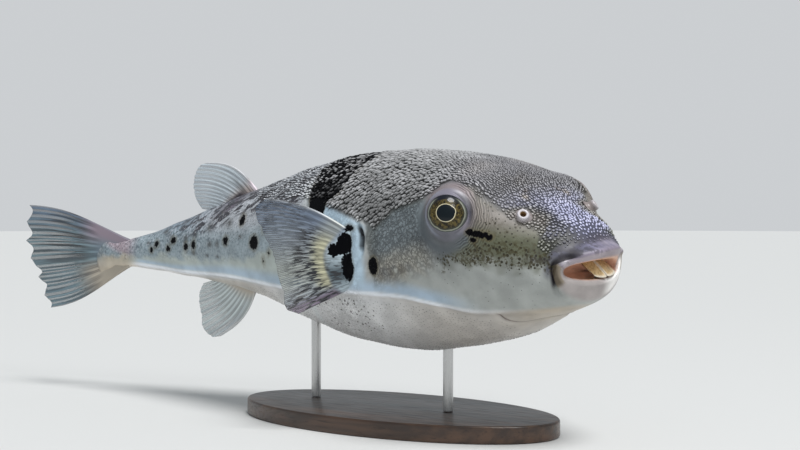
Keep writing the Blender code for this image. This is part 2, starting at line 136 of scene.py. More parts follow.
def mouth_shift(back, out):
    """How far the mouth is raised, and tilted to one side, fading back along the head."""
    return (MOUTH_RISE - MOUTH_TILT * out) * np.exp(-np.maximum(back, 0) / 0.02)


def skin_point(back, turn, grow=-COAT_DEPTH):
    """(back, out, up) of the smooth skin; turn runs from the fish's right over its back."""
    top, bottom, half, level, upper, lower = (c(np.sqrt(np.clip(back, 0, 1))) for c in SECTION_CURVES)
    across, height = np.cos(turn), np.sin(turn)
    power = 2 / np.where(height >= 0, upper, lower)
    reach = np.where(height >= 0, top - level, level - bottom) + grow
    out = (half + grow) * np.sign(across) * np.abs(across) ** power
    up = level + reach * np.sign(height) * np.abs(height) ** power
    corner = across**2
    roll = LIP_ROLL + OVERBITE * height
    out = out * (1 - CORNER_PINCH * np.exp(-((height / 0.35) ** 2) - (back / 0.006) ** 2))
    shifted = back + MOUTH_SETBACK * corner * np.exp(-back / 0.03) - roll * hump(back, 0.005, 0.006)
    out = out * (1 - CORNER_CREASE / 0.08 * corner * hump(back, 0.030, 0.010))
    for side in (1, -1):
        away = (shifted - EYE[0]) ** 2 + (out - side * 0.120) ** 2 + (up - EYE[1]) ** 2
        bulge = np.exp(-((away / ORBIT_REACH**2) ** 1.5))
        out = out + side * ORBIT_OUT * bulge
        up = up + ORBIT_UP * bulge
    return np.stack([shifted, out, up + mouth_shift(back, out)], -1)


def spine_table():
    """Plan of the spine: distances back, and the heading, X and Y there, as shares of the length."""
    back = np.linspace(-0.1, 1.3, 1401)
    heading = HEAD_TURN * np.clip(1 - back / HEAD_TURN_ENDS, 0, 2) ** 1.5
    heading += TAIL_TURN * np.clip((back - TAIL_TURN_STARTS) / (1 - TAIL_TURN_STARTS), 0, 2) ** 1.5
    middle = (heading[1:] + heading[:-1]) / 2
    x = -np.concatenate([[0], np.cumsum(np.cos(middle) * np.diff(back))])
    y = np.concatenate([[0], np.cumsum(np.sin(middle) * np.diff(back))])
    half = np.searchsorted(back, 0.5)
    return back, heading, x - x[half], y - y[half]


SPINE = spine_table()


def roll_at(back):
    """How far the head rolls over to its right at a distance along the spine."""
    return HEAD_ROLL * np.clip(1 - (np.maximum(back, 0) / ROLL_ENDS) ** 2, 0, 1) ** 2


def place(points):
    """World points, in metres, of fish coordinates given as shares of the length."""
    back, out, up = np.moveaxis(np.asarray(points, float), -1, 0)
    roll, high = roll_at(back), up - ROLL_LEVEL
    level = ROLL_LEVEL + high * np.cos(roll) - out * np.sin(roll)
    out = out * np.cos(roll) + high * np.sin(roll)
    heading, x, y = (np.interp(back, SPINE[0], column) for column in SPINE[1:])
    x = MID_BODY[0] + STANDARD_LENGTH * (x - out * np.sin(heading))
    y = MID_BODY[1] + STANDARD_LENGTH * (y - out * np.cos(heading))
    return np.stack([x, y, EYE_LEVEL + STANDARD_LENGTH * level], -1)


def levels(points):
    """(back, out, level): on the head the flank's lines and markings lie lower the further out they are."""
    back, out, up = np.moveaxis(points, -1, 0)
    return back, out, up - np.abs(out) * np.sin(roll_at(back))


def ripple(points, size, seed, waves=10):
    """Smooth random swells, about -1 to 1, whose bumps are about half the size apart."""
    rng = np.random.default_rng(seed)
    ways = rng.normal(size=(waves, 3))
    ways /= np.linalg.norm(ways, axis=1, keepdims=True)
    return np.sin(points @ ways.T * (2 * math.pi / size) + rng.uniform(0, 2 * math.pi, waves)).mean(-1) * 2


def facing(back, turn):
    """The outward unit normal of the smooth skin."""
    step = 1e-4
    round_it = skin_point(back, turn + step) - skin_point(back, turn - step)
    along = skin_point(back + step, turn) - skin_point(back - step, turn)
    normal = np.cross(round_it, along)
    return normal / np.maximum(np.linalg.norm(normal, axis=-1, keepdims=True), 1e-12)


# The fold of skin along the lower flank, from the chin to the tail, and how far it stands out.
fold_line = smooth_curve([0.02, 0.08, 0.14, 0.20, 0.28, 0.40, 0.50, 0.60, 0.70, 0.80, 0.95, 1.1],
                         [-0.130, -0.138, -0.141, -0.134, -0.124, -0.122, -0.123, -0.117, -0.110, -0.1085,
                          -0.098, -0.096])
fold_height = smooth_curve([0.05, 0.13, 0.25, 0.60, 0.90, 1.0], [0, 0.0022, 0.0042, 0.0042, 0.0022, 0])
# The gill slit, and the rim of the pocket that the pectoral fin grows from: (back, up) down the side.
GILL_TOP, GILL_FOOT = -0.026, -0.062
gill_line = smooth_curve([-0.125, -0.105, -0.080, -0.060, -0.045, -0.025, -0.015],
                         [0.392, 0.374, 0.354, 0.342, 0.341, 0.352, 0.362])


def crease_place(turn):
    """Distance back from the lips' rim to the crease round the mouth's corner."""
    height = np.sin(turn)
    return np.clip(0.0125 - np.where(height < 0, 0.022, 0.012) * height, 0.006, 0.030)


def relief(points, back, turn):
    """How far the real skin stands out from the smooth one: folds, creases, the gill slit and swells."""
    s, out, up = levels(points)
    above = up - fold_line(s)
    side = ease(np.abs(out), 0.0, 0.012)
    fold = np.where(above > 0, hump(above, 0, 0.014), hump(above, 0, 0.0035))
    fold -= 0.55 * hump(above, -0.0085, 0.0045)
    height = fold_height(s) * side * fold
    # The crease round the mouth's corners, and the small knob of lip in each.
    middle = MOUTH_LEVEL + mouth_shift(back, out)
    level = points[..., 2] - middle
    crease = hump(back, crease_place(turn), 0.0042) * fall(np.abs(level), 0.020, 0.034)
    height -= 0.0062 * crease * ease(np.abs(out), 0.03, 0.05)
    knob = hump(back, 0.0055, 0.0035) * hump(level, 0.0140, 0.0050)
    height += 0.0030 * knob * ease(np.abs(out), 0.038, 0.048)
    # The crease under the chin.
    chin = 0.082 + 0.040 * ease(np.abs(out), 0.0, 0.075)
    height -= 0.0020 * hump(s, chin, 0.0026) * ease(-up, 0.138, 0.146) * fall(np.abs(out), 0.078, 0.092)
    # The gill slit, its cover in front, and the pocket behind it.
    behind = s - gill_line(up)
    tall = ease(up, -0.128, -0.105) * fall(up, -0.024, -0.014)
    slit = ease(up, GILL_FOOT - 0.012, GILL_FOOT + 0.006) * fall(up, GILL_TOP - 0.006, GILL_TOP + 0.002)
    flank = tall * ease(np.abs(out), 0.05, 0.09)
    height -= flank * (0.0010 + 0.0060 * slit) * hump(behind, 0.0012, 0.0026)
    height += flank * 0.0026 * hump(behind, -0.0065, 0.0060)
    height += flank * 0.0030 * hump(behind, 0.013, 0.0085) * ease(up, -0.110, -0.090)
    # The brow over each eye runs forward to the nostril, and the snout is a little lumpy.
    height += 0.0022 * hump(s, 0.085, 0.035) * hump(np.abs(out), 0.062, 0.022) * ease(up, -0.01, 0.01)
    height += 0.0007 * ripple(points, 0.075, 3) + 0.00035 * ripple(points, 0.030, 4) * ease(s, 0.02, 0.05)
    return height


def solid_skin(back, turn):
    """The skin as it is, with its relief."""
    points = skin_point(back, turn)
    return points + relief(points, back, turn)[..., None] * facing(back, turn)


def orbit_frame(side):
    """The eye's place and axes in fish coordinates: its middle, the way it looks, forward and up."""
    turns = np.radians(np.linspace(-40, 80, 241))
    turns = turns if side > 0 else math.pi - turns
    spots = skin_point(np.full_like(turns, EYE[0]), turns, 0.0)
    middle = spots[int(np.argmin(np.abs(spots[:, 2] - EYE[1])))]
    cf, sf = math.cos(EYE_FORWARD), math.sin(EYE_FORWARD)
    cu, su = math.cos(EYE_UPWARD), math.sin(EYE_UPWARD)
    axes = np.array([(-sf * cu, cf * cu, su), (-cf, -sf, 0), (sf * su, -cf * su, cu)])
    return middle, *(axes * np.array([1, side, 1]))


ORBITS = {side: orbit_frame(side) for side in (1, -1)}
PATCH_RADIUS = 0.052
LID_RADII = (0.0296, 0.0250)


def in_orbit(points, side):
    """Coordinates forward, up and outward of points about an eye."""
    middle, look, ahead, upward = ORBITS[side]
    away = points - middle
    return away @ ahead, away @ upward, away @ look


def solve_orbit(side, target, back, turn):
    """The (back, turn) on the smooth skin that lie at the target place in front of an eye."""
    step = 1e-4
    for _ in range(8):
        x, y, _ = in_orbit(skin_point(back, turn), side)
        xb, yb, _ = in_orbit(skin_point(back + step, turn), side)
        xt, yt, _ = in_orbit(skin_point(back, turn + step), side)
        a, b, c, d = (xb - x) / step, (xt - x) / step, (yb - y) / step, (yt - y) / step
        det = a * d - b * c
        ex, ey = target[0] - x, target[1] - y
        back = back + np.clip((d * ex - b * ey) / det, -0.01, 0.01)
        turn = turn + np.clip((a * ey - c * ex) / det, -0.1, 0.1)
    return back, turn


def ball_height(radius):
    """How far the eyeball's front stands out at a distance from the eye's middle."""
    return -EYE_SUNK + EYE_RADIUS * EYE_FLATNESS * np.sqrt(np.clip(1 - (radius / EYE_RADIUS) ** 2, 0, 1))


def lid_patch(side, back, turn, angle):
    """Rings of skin from the edge of a hole in the loft to the eyelid's rim, and on behind the eyeball."""
    middle, look, ahead, upward = ORBITS[side]
    even = angle[0] + np.sign(angle[-1] - angle[0]) * np.arange(len(angle)) * 2 * math.pi / len(angle)
    even += (angle - even).mean()
    rings, coords = [], []
    for t in np.concatenate([np.linspace(0, 0.84, 36)[1:], np.linspace(0.86, 1.0, 10)]):
        spot = angle + (even - angle) * ease(t, 0.0, 0.5)
        rim = 1 / np.hypot(np.cos(spot) / LID_RADII[0], np.sin(spot) / LID_RADII[1])
        radius = PATCH_RADIUS + (rim - PATCH_RADIUS) * t
        back, turn = solve_orbit(side, (radius * np.cos(spot), radius * np.sin(spot)), back, turn)
        points = solid_skin(back, turn)
        out = in_orbit(points, side)[2]
        beyond = radius - rim
        wrinkle = 0.00030 * np.sin(2 * math.pi * radius / 0.0040) * ease(beyond, 0.013, 0.016)
        wrinkle *= fall(beyond, 0.020, 0.0238) * ease(np.cos(spot - 0.2), -0.2, 0.6)
        front = ease(np.cos(spot), -0.15, 0.55)
        swelling = 0.0016 * hump(beyond, 0.0068, 0.0036) - 0.0014 * hump(beyond, 0.0135, 0.0022)
        lid_top = ball_height(np.minimum(radius, 0.0290)) - 0.7 * np.maximum(radius - 0.0290, 0)
        lift = (lid_top + 0.0014 - out) * fall(beyond, 0.0, 0.0120 + 0.0060 * (1 - front))
        lift += swelling * front + wrinkle
        lift -= 0.0007 * fall(beyond, 0.0, 0.0008)
        rings.append(points + lift[:, None] * look)
        coords.append((back, turn))
    around = np.cos(even)[:, None] * ahead + np.sin(even)[:, None] * upward
    for inward, sink in ((0.0004, 0.0002), (0.0006, 0.0012), (0.0010, 0.0030), (0.010, 0.0080)):
        radius = rim - inward
        rings.append(middle + radius[:, None] * around + (ball_height(radius) - sink)[:, None] * look)
        coords.append((back, turn))
    return rings, coords


def mouth_rings(turns):
    """The hollow of the mouth, from its depth out to the lips' inner edge, and the rounded lips' front."""
    depth = smooth_curve([0.004, 0.020, 0.045, 0.070], [0.048, 0.043, 0.033, 0.020])
    gape = smooth_curve([0.004, 0.020, 0.045, 0.070], [0.0115, 0.014, 0.013, 0.008])

    def wall(back):
        s = back + MOUTH_SETBACK * np.cos(turns) ** 2 * math.exp(-back / 0.03)
        out = depth(back) * np.sign(np.cos(turns)) * np.abs(np.cos(turns)) ** 0.80
        rise = gape(back) * np.sign(np.sin(turns)) * np.abs(np.sin(turns)) ** 0.85
        return np.stack([s, out, MOUTH_LEVEL + rise + mouth_shift(back, out) + OPENING_TILT * out], -1)

    rings = [wall(b) for b in np.linspace(0.025, 0.009, 16)]
    for share, ring in zip((0.15, 0.45, 0.70, 0.88), rings[:4]):
        ring[:, 1:] = ring[:, 1:] * share + np.array([0, MOUTH_LEVEL]) * (1 - share)
    edge = solid_skin(np.full_like(turns, 0.0012), turns)
    front = wall(0.004)
    front[:, 0] = edge[:, 0] + 0.001
    for t in np.linspace(0.15, 0.85, 5):
        rings.append((1 - t) ** 2 * rings[15] + 2 * t * (1 - t) * front + t**2 * edge)
    return rings


def orbit_edge(quads, points, side, lowest, highest):
    """The vertices round the hole left for an eye, in order."""
    edges = {(a, b) for quad in quads for a, b in zip(quad, quad[1:] + quad[:1])}
    step_on = {a: b for a, b in edges if (b, a) not in edges and lowest <= a < highest}
    step_on = {a: b for a, b in step_on.items() if points[a, 1] * side > 0}
    walk = [next(iter(step_on))]
    while step_on[walk[-1]] != walk[0]:
        walk.append(step_on[walk[-1]])
    return np.array(walk)


def build_skin():
    """Points, faces, and each point's place on the loft (back, turn) and depth inside the mouth."""
    around = 256
    turns = np.linspace(0, 2 * math.pi, around, endpoint=False)
    mouth = mouth_rings(turns)
    backs = np.concatenate([0.0012 + 0.3188 * np.linspace(0, 1, 138) ** 1.4, np.linspace(0.32, 0.50, 54)[1:],
                            np.linspace(0.50, 1.0, 97)[1:]])
    grid_back, grid_turn = np.meshgrid(backs, turns, indexing="ij")
    body = solid_skin(grid_back, grid_turn)
    tail = []
    for t in np.linspace(0.1, 1, 10):
        ring = body[-1].copy()
        middle = ring[:, 2].mean()
        ring[:, 0] += 0.044 * t * (1 - 0.25 * ((ring[:, 2] - middle) / 0.021) ** 2)
        ring[:, 1] *= 1 - 0.88 * t**0.9
        ring[:, 2] = middle - 0.002 * t + (ring[:, 2] - middle) * (1 + 0.75 * t)
        tail.append(ring)
    points = np.concatenate([np.array(mouth), body, np.array(tail)])
    rows = len(points)
    back = np.concatenate([np.full((len(mouth), around), 0.0012), grid_back, np.ones((len(tail), around))])
    turn = np.broadcast_to(turns, back.shape).copy()
    inner = np.concatenate([np.clip(np.linspace(1.2, 0.0, len(mouth)), 0, 1)[:, None] * np.ones(around),
                            np.zeros((rows - len(mouth), around))])
    keep = np.ones(points.shape[:2], bool)
    smooth = skin_point(back, turn)
    in_loft = (np.arange(rows) >= len(mouth) + 5)[:, None]
    for side in (1, -1):
        x, y, out = in_orbit(smooth, side)
        keep &= ~((np.hypot(x, y) < PATCH_RADIUS) & (out > -0.10) & in_loft)
    number = np.arange(rows * around).reshape(rows, around)
    following, kept_next = np.roll(number, -1, axis=1), np.roll(keep, -1, axis=1)
    whole = keep[:-1] & keep[1:] & kept_next[:-1] & kept_next[1:]
    quads = np.stack([number[:-1], following[:-1], following[1:], number[1:]], -1)[whole].tolist()
    points, smooth = points.reshape(-1, 3), smooth.reshape(-1, 3)
    back, turn, inner = back.ravel(), turn.ravel(), inner.ravel()
    for side in (1, -1):
        walk = orbit_edge(quads, points, side, around, (rows - 1) * around)
        x, y, _ = in_orbit(smooth[walk], side)
        angle = np.unwrap(np.arctan2(y, x))
        whole_turn = np.sign(angle[-1] - angle[0]) * 2 * math.pi
        padded = np.concatenate([angle[-4:] - whole_turn, angle, angle[:4] + whole_turn])
        angle = np.convolve(padded, np.array([1, 2, 3, 4, 5, 4, 3, 2, 1]) / 25, "valid")
        spot = (PATCH_RADIUS * np.cos(angle), PATCH_RADIUS * np.sin(angle))
        back[walk], turn[walk] = solve_orbit(side, spot, back[walk], turn[walk])
        points[walk] = solid_skin(back[walk], turn[walk])
        last = walk
        for ring, (b, t) in zip(*lid_patch(side, back[walk], turn[walk], angle)):
            fresh = len(points) + np.arange(len(ring))
            points, back, turn = np.concatenate([points, ring]), np.append(back, b), np.append(turn, t)
            inner = np.append(inner, np.zeros(len(ring)))
            quads += np.stack([last, np.roll(last, -1), np.roll(fresh, -1), fresh], -1).tolist()
            last = fresh
        quads.append(last.tolist())
    quads += [number[0].tolist(), number[-1].tolist()]
    used = np.unique(np.concatenate([np.array(q) for q in quads]))
    renumber = np.full(len(points), -1)
    renumber[used] = np.arange(len(used))
    quads = [renumber[np.array(q)].tolist() for q in quads]
    return points[used], quads, back[used], turn[used], inner[used]


# Where the dark back gives way to the pale side, and the lower edge of the prickles.
back_line = smooth_curve([0.020, 0.037, 0.055, 0.086, 0.120, 0.163, 0.188, 0.264, 0.318, 0.345, 0.440,
                          0.480, 0.555, 0.636, 0.750, 0.838, 0.924, 1.05],
                         [-0.068, -0.080, -0.077, -0.074, -0.072, -0.073, -0.080, -0.089, -0.105,
                          -0.020, -0.020, -0.061, -0.066, -0.082, -0.086, -0.084, -0.085, -0.086])
prickle_line = smooth_curve([0.010, 0.030, 0.037, 0.045, 0.050, 0.059, 0.077, 0.088, 0.102, 0.108,
                             0.117, 0.128, 0.145, 0.185, 0.220, 0.250, 0.282, 0.300, 0.320, 0.335,
                             0.361, 0.394, 0.435, 0.450, 0.500, 0.560, 0.640, 0.700],
                            [-0.050, -0.053, -0.057, -0.053, -0.040, -0.029, -0.020, -0.013, -0.004,
                             0.003, 0.009, 0.019, 0.028, 0.024, 0.014, 0.006, -0.002, -0.014, -0.026,
                             -0.022, -0.014, -0.005, 0.007, 0.010, 0.012, 0.010, 0.012, 0.014])
# The black saddle behind the shoulder: its front and rear edges, going up the side.
saddle_front = smooth_curve([-0.024, 0.005, 0.013, 0.022, 0.040, 0.070],
                            [0.437, 0.437, 0.425, 0.410, 0.404, 0.386])
saddle_rear = smooth_curve([-0.024, -0.007, 0.025, 0.060], [0.468, 0.474, 0.482, 0.487])
# Black blotches and flank spots, and the softer smudges among them: back, up, half length, half height.
BLOTCHES = (
    (0.374, -0.030, 0.012, 0.0045), (0.378, -0.052, 0.012, 0.017), (0.392, -0.062, 0.012, 0.010),
    (0.372, -0.085, 0.010, 0.023), (0.3215, -0.083, 0.0095, 0.0130), (0.1225, -0.0335, 0.0056, 0.0044),
    (0.1150, -0.0357, 0.0066, 0.0046), (0.1085, -0.0375, 0.0052, 0.0034),
    (0.1010, -0.0400, 0.0038, 0.0040), (0.1200, -0.0435, 0.0042, 0.0038),
    (0.1060, -0.0340, 0.0028, 0.0020), (0.602, -0.055, 0.0105, 0.0115), (0.577, -0.028, 0.0065, 0.0105),
    (0.643, -0.021, 0.0075, 0.0085), (0.680, -0.054, 0.0066, 0.0075), (0.772, -0.062, 0.0060, 0.0075),
    (0.795, -0.066, 0.0064, 0.0066), (0.834, -0.056, 0.0064, 0.0062), (0.847, -0.070, 0.0056, 0.0055),
    (0.881, -0.063, 0.0058, 0.0055), (0.895, -0.073, 0.0048, 0.0046), (0.577, -0.083, 0.0025, 0.0040),
    (0.562, -0.070, 0.0026, 0.0035),
)
SMUDGES = (
    (0.677, -0.026, 0.0070, 0.0075), (0.704, -0.059, 0.0065, 0.0060), (0.726, -0.060, 0.0070, 0.0066),
    (0.732, -0.033, 0.0095, 0.0075), (0.770, -0.045, 0.0085, 0.0070), (0.797, -0.052, 0.0080, 0.0070),
    (0.640, -0.047, 0.0060, 0.0035), (0.712, -0.010, 0.0070, 0.0040), (0.812, -0.034, 0.0080, 0.0045),
    (0.862, -0.043, 0.0070, 0.0040), (0.772, -0.076, 0.0060, 0.0035), (0.735, -0.079, 0.0050, 0.0030),
    (0.705, -0.080, 0.0050, 0.0028), (0.905, -0.062, 0.0060, 0.0040),
)


def black_marks(points):
    """How far inside the nearest black mark a point lies, in millimetres; negative outside."""
    s, out, up = levels(points)
    saddle = np.minimum(s - saddle_front(up), saddle_rear(up) - s)
    inside = np.minimum(saddle + 0.0012 * ripple(points, 0.016, 11), up + 0.023)
    for middle, level, long, tall in BLOTCHES:
        spot = (1 - np.hypot((s - middle) / long, (up - level) / tall)) * min(long, tall)
        inside = np.maximum(inside, np.where(np.abs(out) > 0.02, spot, -1))
    return inside * STANDARD_LENGTH * 1000 * (1 - 0.35 * ease(s, 0.50, 0.56))


def mix(colour, other, share):
    """The colour moved towards another by a share from 0 to 1."""
    return colour + (np.asarray(other, float) - colour) * np.clip(share, 0, 1)[..., None]


def orbit_distance(points):
    """Distance from the nearer eye's middle, across its line of sight."""
    side = np.where(points[..., 1] > 0, 1, -1)
    reach = np.zeros(points.shape[:-1])
    for which in (1, -1):
        x, y, out = in_orbit(points, which)
        reach = np.where(side == which, np.where(np.abs(out) < 0.10, np.hypot(x, y), 1.0), reach)
    return reach


def nearer_orbit(points):
    """(forward, up) of points about the nearer eye."""
    right, left = in_orbit(points, 1), in_orbit(points, -1)
    return [np.where(points[..., 1] > 0, a, b) for a, b in zip(right[:2], left[:2])]


def prickled(points):
    """1 where the skin carries prickles, 0 where it is smooth."""
    s, out, up = levels(points)
    zone = ease(up - prickle_line(s) + 0.005 * ripple(points, 0.025, 21), -0.006, 0.004)
    zone *= ease(s - 3.8 * out**2 + 0.002 * ripple(points, 0.012, 23), 0.004, 0.014) * fall(s, 0.60, 0.67)
    return zone * ease(orbit_distance(points) + 0.002 * ripple(points, 0.02, 22), 0.044, 0.050)


def pale_side(points):
    """The pale side: a warm belly, a white cheek, a blue band, and a bright line along the fold that is a
    painted highlight.
    """
    s, _, up = levels(points)
    above_fold = up - fold_line(s)
    over_fold = ease(above_fold, -0.002, 0.004)
    tone = mix(np.full(points.shape, 0.60), (0.46, 0.435, 0.405), fall(s, 0.20, 0.36))
    tone = mix(tone, (0.40, 0.35, 0.28), ease(-up, 0.095, 0.120) * fall(s, 0.05, 0.15))
    tone = mix(tone, (0.345, 0.360, 0.345), over_fold * fall(s, 0.30, 0.40))
    tone = mix(tone, (0.43, 0.475, 0.45), over_fold * ease(s, 0.42, 0.55))
    reach = 0.020 - 0.010 * ease(s, 0.60, 0.90)
    band = ease(above_fold, 0.001, 0.005) * fall(above_fold, 0.45 * reach, 1.3 * reach)
    tone = mix(tone, (0.38, 0.50, 0.63), band * ease(s, 0.12, 0.22) * fall(s, 0.92, 0.96) * 0.75)
    # A painted highlight: a near-white line along the ridge of the fold.
    line = hump(above_fold, 0.0, 0.0030) * ease(s, 0.05, 0.25) * fall(s, 0.93, 0.965)
    tone = mix(tone, (0.80, 0.84, 0.90), line * 0.9)
    tone = mix(tone, (0.47, 0.42, 0.35), ease(-above_fold, 0.004, 0.012) * ease(s, 0.5, 0.7) * 0.7)
    return mix(tone, (0.50, 0.43, 0.33), ease(s, 0.93, 0.97) * 0.85)


def dark_back(points, uneven):
    """The back: lilac-grey over the snout, brown-grey over the neck, slate along the tail."""
    s, out, up = levels(points)
    across = np.abs(out)
    dark = mix(np.full(points.shape, 0.17), (0.170, 0.166, 0.178), fall(s, 0.16, 0.26))
    # Lilac over the snout, partly its own colour and partly a painted highlight from above; darker down its
    # right side.
    dark = mix(dark, (0.40, 0.41, 0.60), fall(s, 0.06, 0.12))
    dark = mix(dark, (0.075, 0.075, 0.100), fall(s, 0.07, 0.11) * ease(out, 0.008, 0.034) * 0.92)
    # Dusky marks on the forehead and by each nostril, and a paler neck.
    cloud = hump(s, 0.128, 0.016) * hump(out, 0.030, 0.030) * ease(uneven, -0.4, 0.3)
    dark = mix(dark, (0.10, 0.09, 0.085), cloud * 0.8)
    dark = mix(dark, (0.075, 0.055, 0.045), hump(s, 0.106, 0.0035) * hump(across, 0.031, 0.0045) * 0.95)
    dark = mix(dark, (0.40, 0.33, 0.25), hump(s, 0.0985, 0.0045) * hump(across, 0.040, 0.0060) * 0.7)
    dark = mix(dark, (0.085, 0.075, 0.080), hump(s, 0.115, 0.012) * ease(-out, 0.070, 0.088) * 0.75)
    neck = hump(s, 0.176, 0.022) * hump(across, 0.055, 0.035) * ease(up, 0.0, 0.03)
    dark = mix(dark, (0.25, 0.235, 0.235), neck)
    # The rear: light grey, then slate, with a dark stain at the dorsal fin and flesh at the tail fin.
    dark = mix(dark, (0.42, 0.44, 0.47), ease(s, 0.470, 0.505))
    dark = mix(dark, (0.20, 0.25, 0.30), ease(s, 0.70, 0.84))
    stain = hump(s, 0.695, 0.034) * ease(up - 0.018 + 0.40 * (s - 0.676), -0.024, -0.012)
    dark = mix(dark, (0.075, 0.050, 0.075), stain * 0.95)
    low = ease(s, 0.46, 0.54) * fall(up - back_line(s), 0.030, 0.062)
    dark = mix(dark, (0.27, 0.33, 0.36), low * 0.9)
    root = ease(s, 0.93, 0.97) * ease(up - 0.35 * (s - 1.0), -0.080, -0.066)
    dark = mix(dark, (0.36, 0.27, 0.30), root * 0.8)
    dark = mix(dark, (0.20, 0.25, 0.28), ease(s, 1.005, 1.040) * 0.8)
    # Below the prickles: olive, sandy under the eye, then blue-grey, and a beige gill cover.
    cheek = fall(up - prickle_line(s) - 0.016 * fall(s, 0.08, 0.11), -0.008, 0.004)
    cheek *= fall(s, 0.30, 0.36) * ease(s, 0.016, 0.034)
    dark = mix(dark, (0.095, 0.099, 0.064), cheek)
    sandy = ease(up - back_line(s), 0.030, 0.060) * fall(s, 0.16, 0.20)
    dark = mix(dark, (0.175, 0.155, 0.138), cheek * sandy)
    dark = mix(dark, (0.155, 0.180, 0.195), cheek * ease(s, 0.155, 0.20) * 0.95)
    beige = fall(up - back_line(s) + 0.006 * uneven, 0.014, 0.044) * ease(s, 0.165, 0.225)
    return mix(dark, (0.36, 0.345, 0.30), cheek * beige * fall(s, 0.305, 0.335) * 0.85)


def with_eyelids(tone, points):
    """The orbits: painted shade below the eye and in the hollow behind it, a pale lilac lid, and a painted
    highlight on the lid's front.
    """
    orbit = orbit_distance(points)
    ahead, above = nearer_orbit(points)
    # Painted shade below the eye.
    shade_below_eye = hump(orbit, 0.048, 0.012) * ease(-above, 0.010, 0.035) * ease(-ahead, -0.02, 0.01)
    tone = mix(tone, (0.12, 0.135, 0.15), shade_below_eye * 0.8)
    tone = mix(tone, (0.165, 0.145, 0.15), fall(orbit, 0.036, 0.047))
    # Painted shade in the hollow behind and below the eyeball.
    hollow = fall(orbit, 0.044, 0.056) * ease(-above - 0.35 * ahead, 0.002, 0.024)
    tone = mix(tone, (0.095, 0.110, 0.122), hollow * 0.85)
    lid = fall(orbit, 0.033, 0.038)
    tone = mix(tone, (0.175, 0.165, 0.205), lid * (0.45 + 0.55 * ease(above + 0.5 * ahead, -0.010, 0.018)))
    # A painted highlight on the upper front of the lid.
    lid_highlight = hump(orbit, 0.0335, 0.0030) * hump(ahead, 0.024, 0.012) * ease(above, 0.0, 0.014)
    tone = mix(tone, (0.66, 0.64, 0.68), lid_highlight * 0.8)
    tone = mix(tone, (0.30, 0.34, 0.42), hump(orbit, 0.0320, 0.0016) * ease(-ahead, 0.008, 0.024) * 0.6)
    return mix(tone, (0.24, 0.195, 0.205), hump(orbit, 0.041, 0.006) * ease(above, 0.012, 0.030) * 0.7)


def with_lips(tone, points, inner, back, turn):
    """Lips: pale and fleshy, edged above with dusky violet, with painted shade in each corner's crease and
    painted light on the left side.
    """
    _, out, _ = levels(points)
    across = np.abs(out)
    height = np.sin(turn)
    upper = ease(height, -0.05, 0.20)
    streaks = ripple(points * (1, 1, 0.35), 0.0065, 33)
    band = fall(back, 0.012, 0.024 + 0.010 * (1 - np.abs(height))) * upper
    tone = mix(tone, (0.085, 0.080, 0.115), band * (0.80 + 0.20 * streaks))
    # Painted light: the violet band is lighter from the middle to the left side, with pale streaks there.
    tone = mix(tone, (0.19, 0.17, 0.235), band * ease(-out, -0.030, 0.010) * 0.85)
    tone = mix(tone, (0.36, 0.32, 0.38), band * ease(-out, -0.004, 0.020) * ease(streaks, -0.4, 0.4) * 0.6)
    tone = mix(tone, (0.24, 0.205, 0.255), upper * fall(back, 0.0040, 0.0085) * 0.8)
    tone = mix(tone, (0.33, 0.285, 0.31), upper * fall(back, 0.0020, 0.0042))
    tone = mix(tone, (0.37, 0.335, 0.325), (1 - upper) * fall(back, 0.010, 0.022))
    # A painted highlight: the left side of the lower lip is painted near white.
    lip_highlight = fall(back, 0.006, 0.014) * ease(-out, 0.000, 0.022) * ease(-height, 0.0, 0.3)
    tone = mix(tone, (0.90, 0.87, 0.84), lip_highlight)
    # The corners: painted shade round them, black painted shade in the crease, and brown between it and the
    # lip.
    corner = ease(across, 0.030, 0.044) * fall(-height, 0.45, 0.68) * fall(height, 0.80, 0.97)
    outside = back - crease_place(turn)
    shaded = corner * hump(outside, 0.009, 0.009) * ease(streaks, -0.8, 0.3) * ease(height, -0.45, 0.0)
    tone = mix(tone, (0.085, 0.085, 0.115), shaded * 0.85)
    crease_shade = corner * ease(outside, -0.0035, -0.0005) * fall(outside, 0.003, 0.008)
    tone = mix(tone, (0.012, 0.010, 0.014), crease_shade * ease(height, -0.62, -0.40))
    brown = corner * ease(back, 0.0025, 0.0060) * fall(outside, -0.003, 0.001) * fall(height, 0.0, 0.25)
    brown *= ease(height, -0.60, -0.42)
    tone = mix(tone, (0.23, 0.185, 0.125), brown * 0.85)
    tone = mix(tone, (0.09, 0.070, 0.045), brown * ease(back, 0.006, 0.010) * 0.9)
    knob = hump(back, 0.0055, 0.0034) * hump(height, 0.40, 0.14) * ease(across, 0.034, 0.044)
    tone = mix(tone, (0.62, 0.58, 0.62), knob)
    # The flesh-coloured hollow of the mouth, painted darker deep inside as shade.
    tone = mix(tone, (0.62, 0.37, 0.26), ease(inner, 0.02 + 0.05 * (1 - upper), 0.12 + 0.16 * (1 - upper)))
    return mix(tone, (0.40, 0.19, 0.12), ease(inner, 0.6, 1.0) * 0.5)


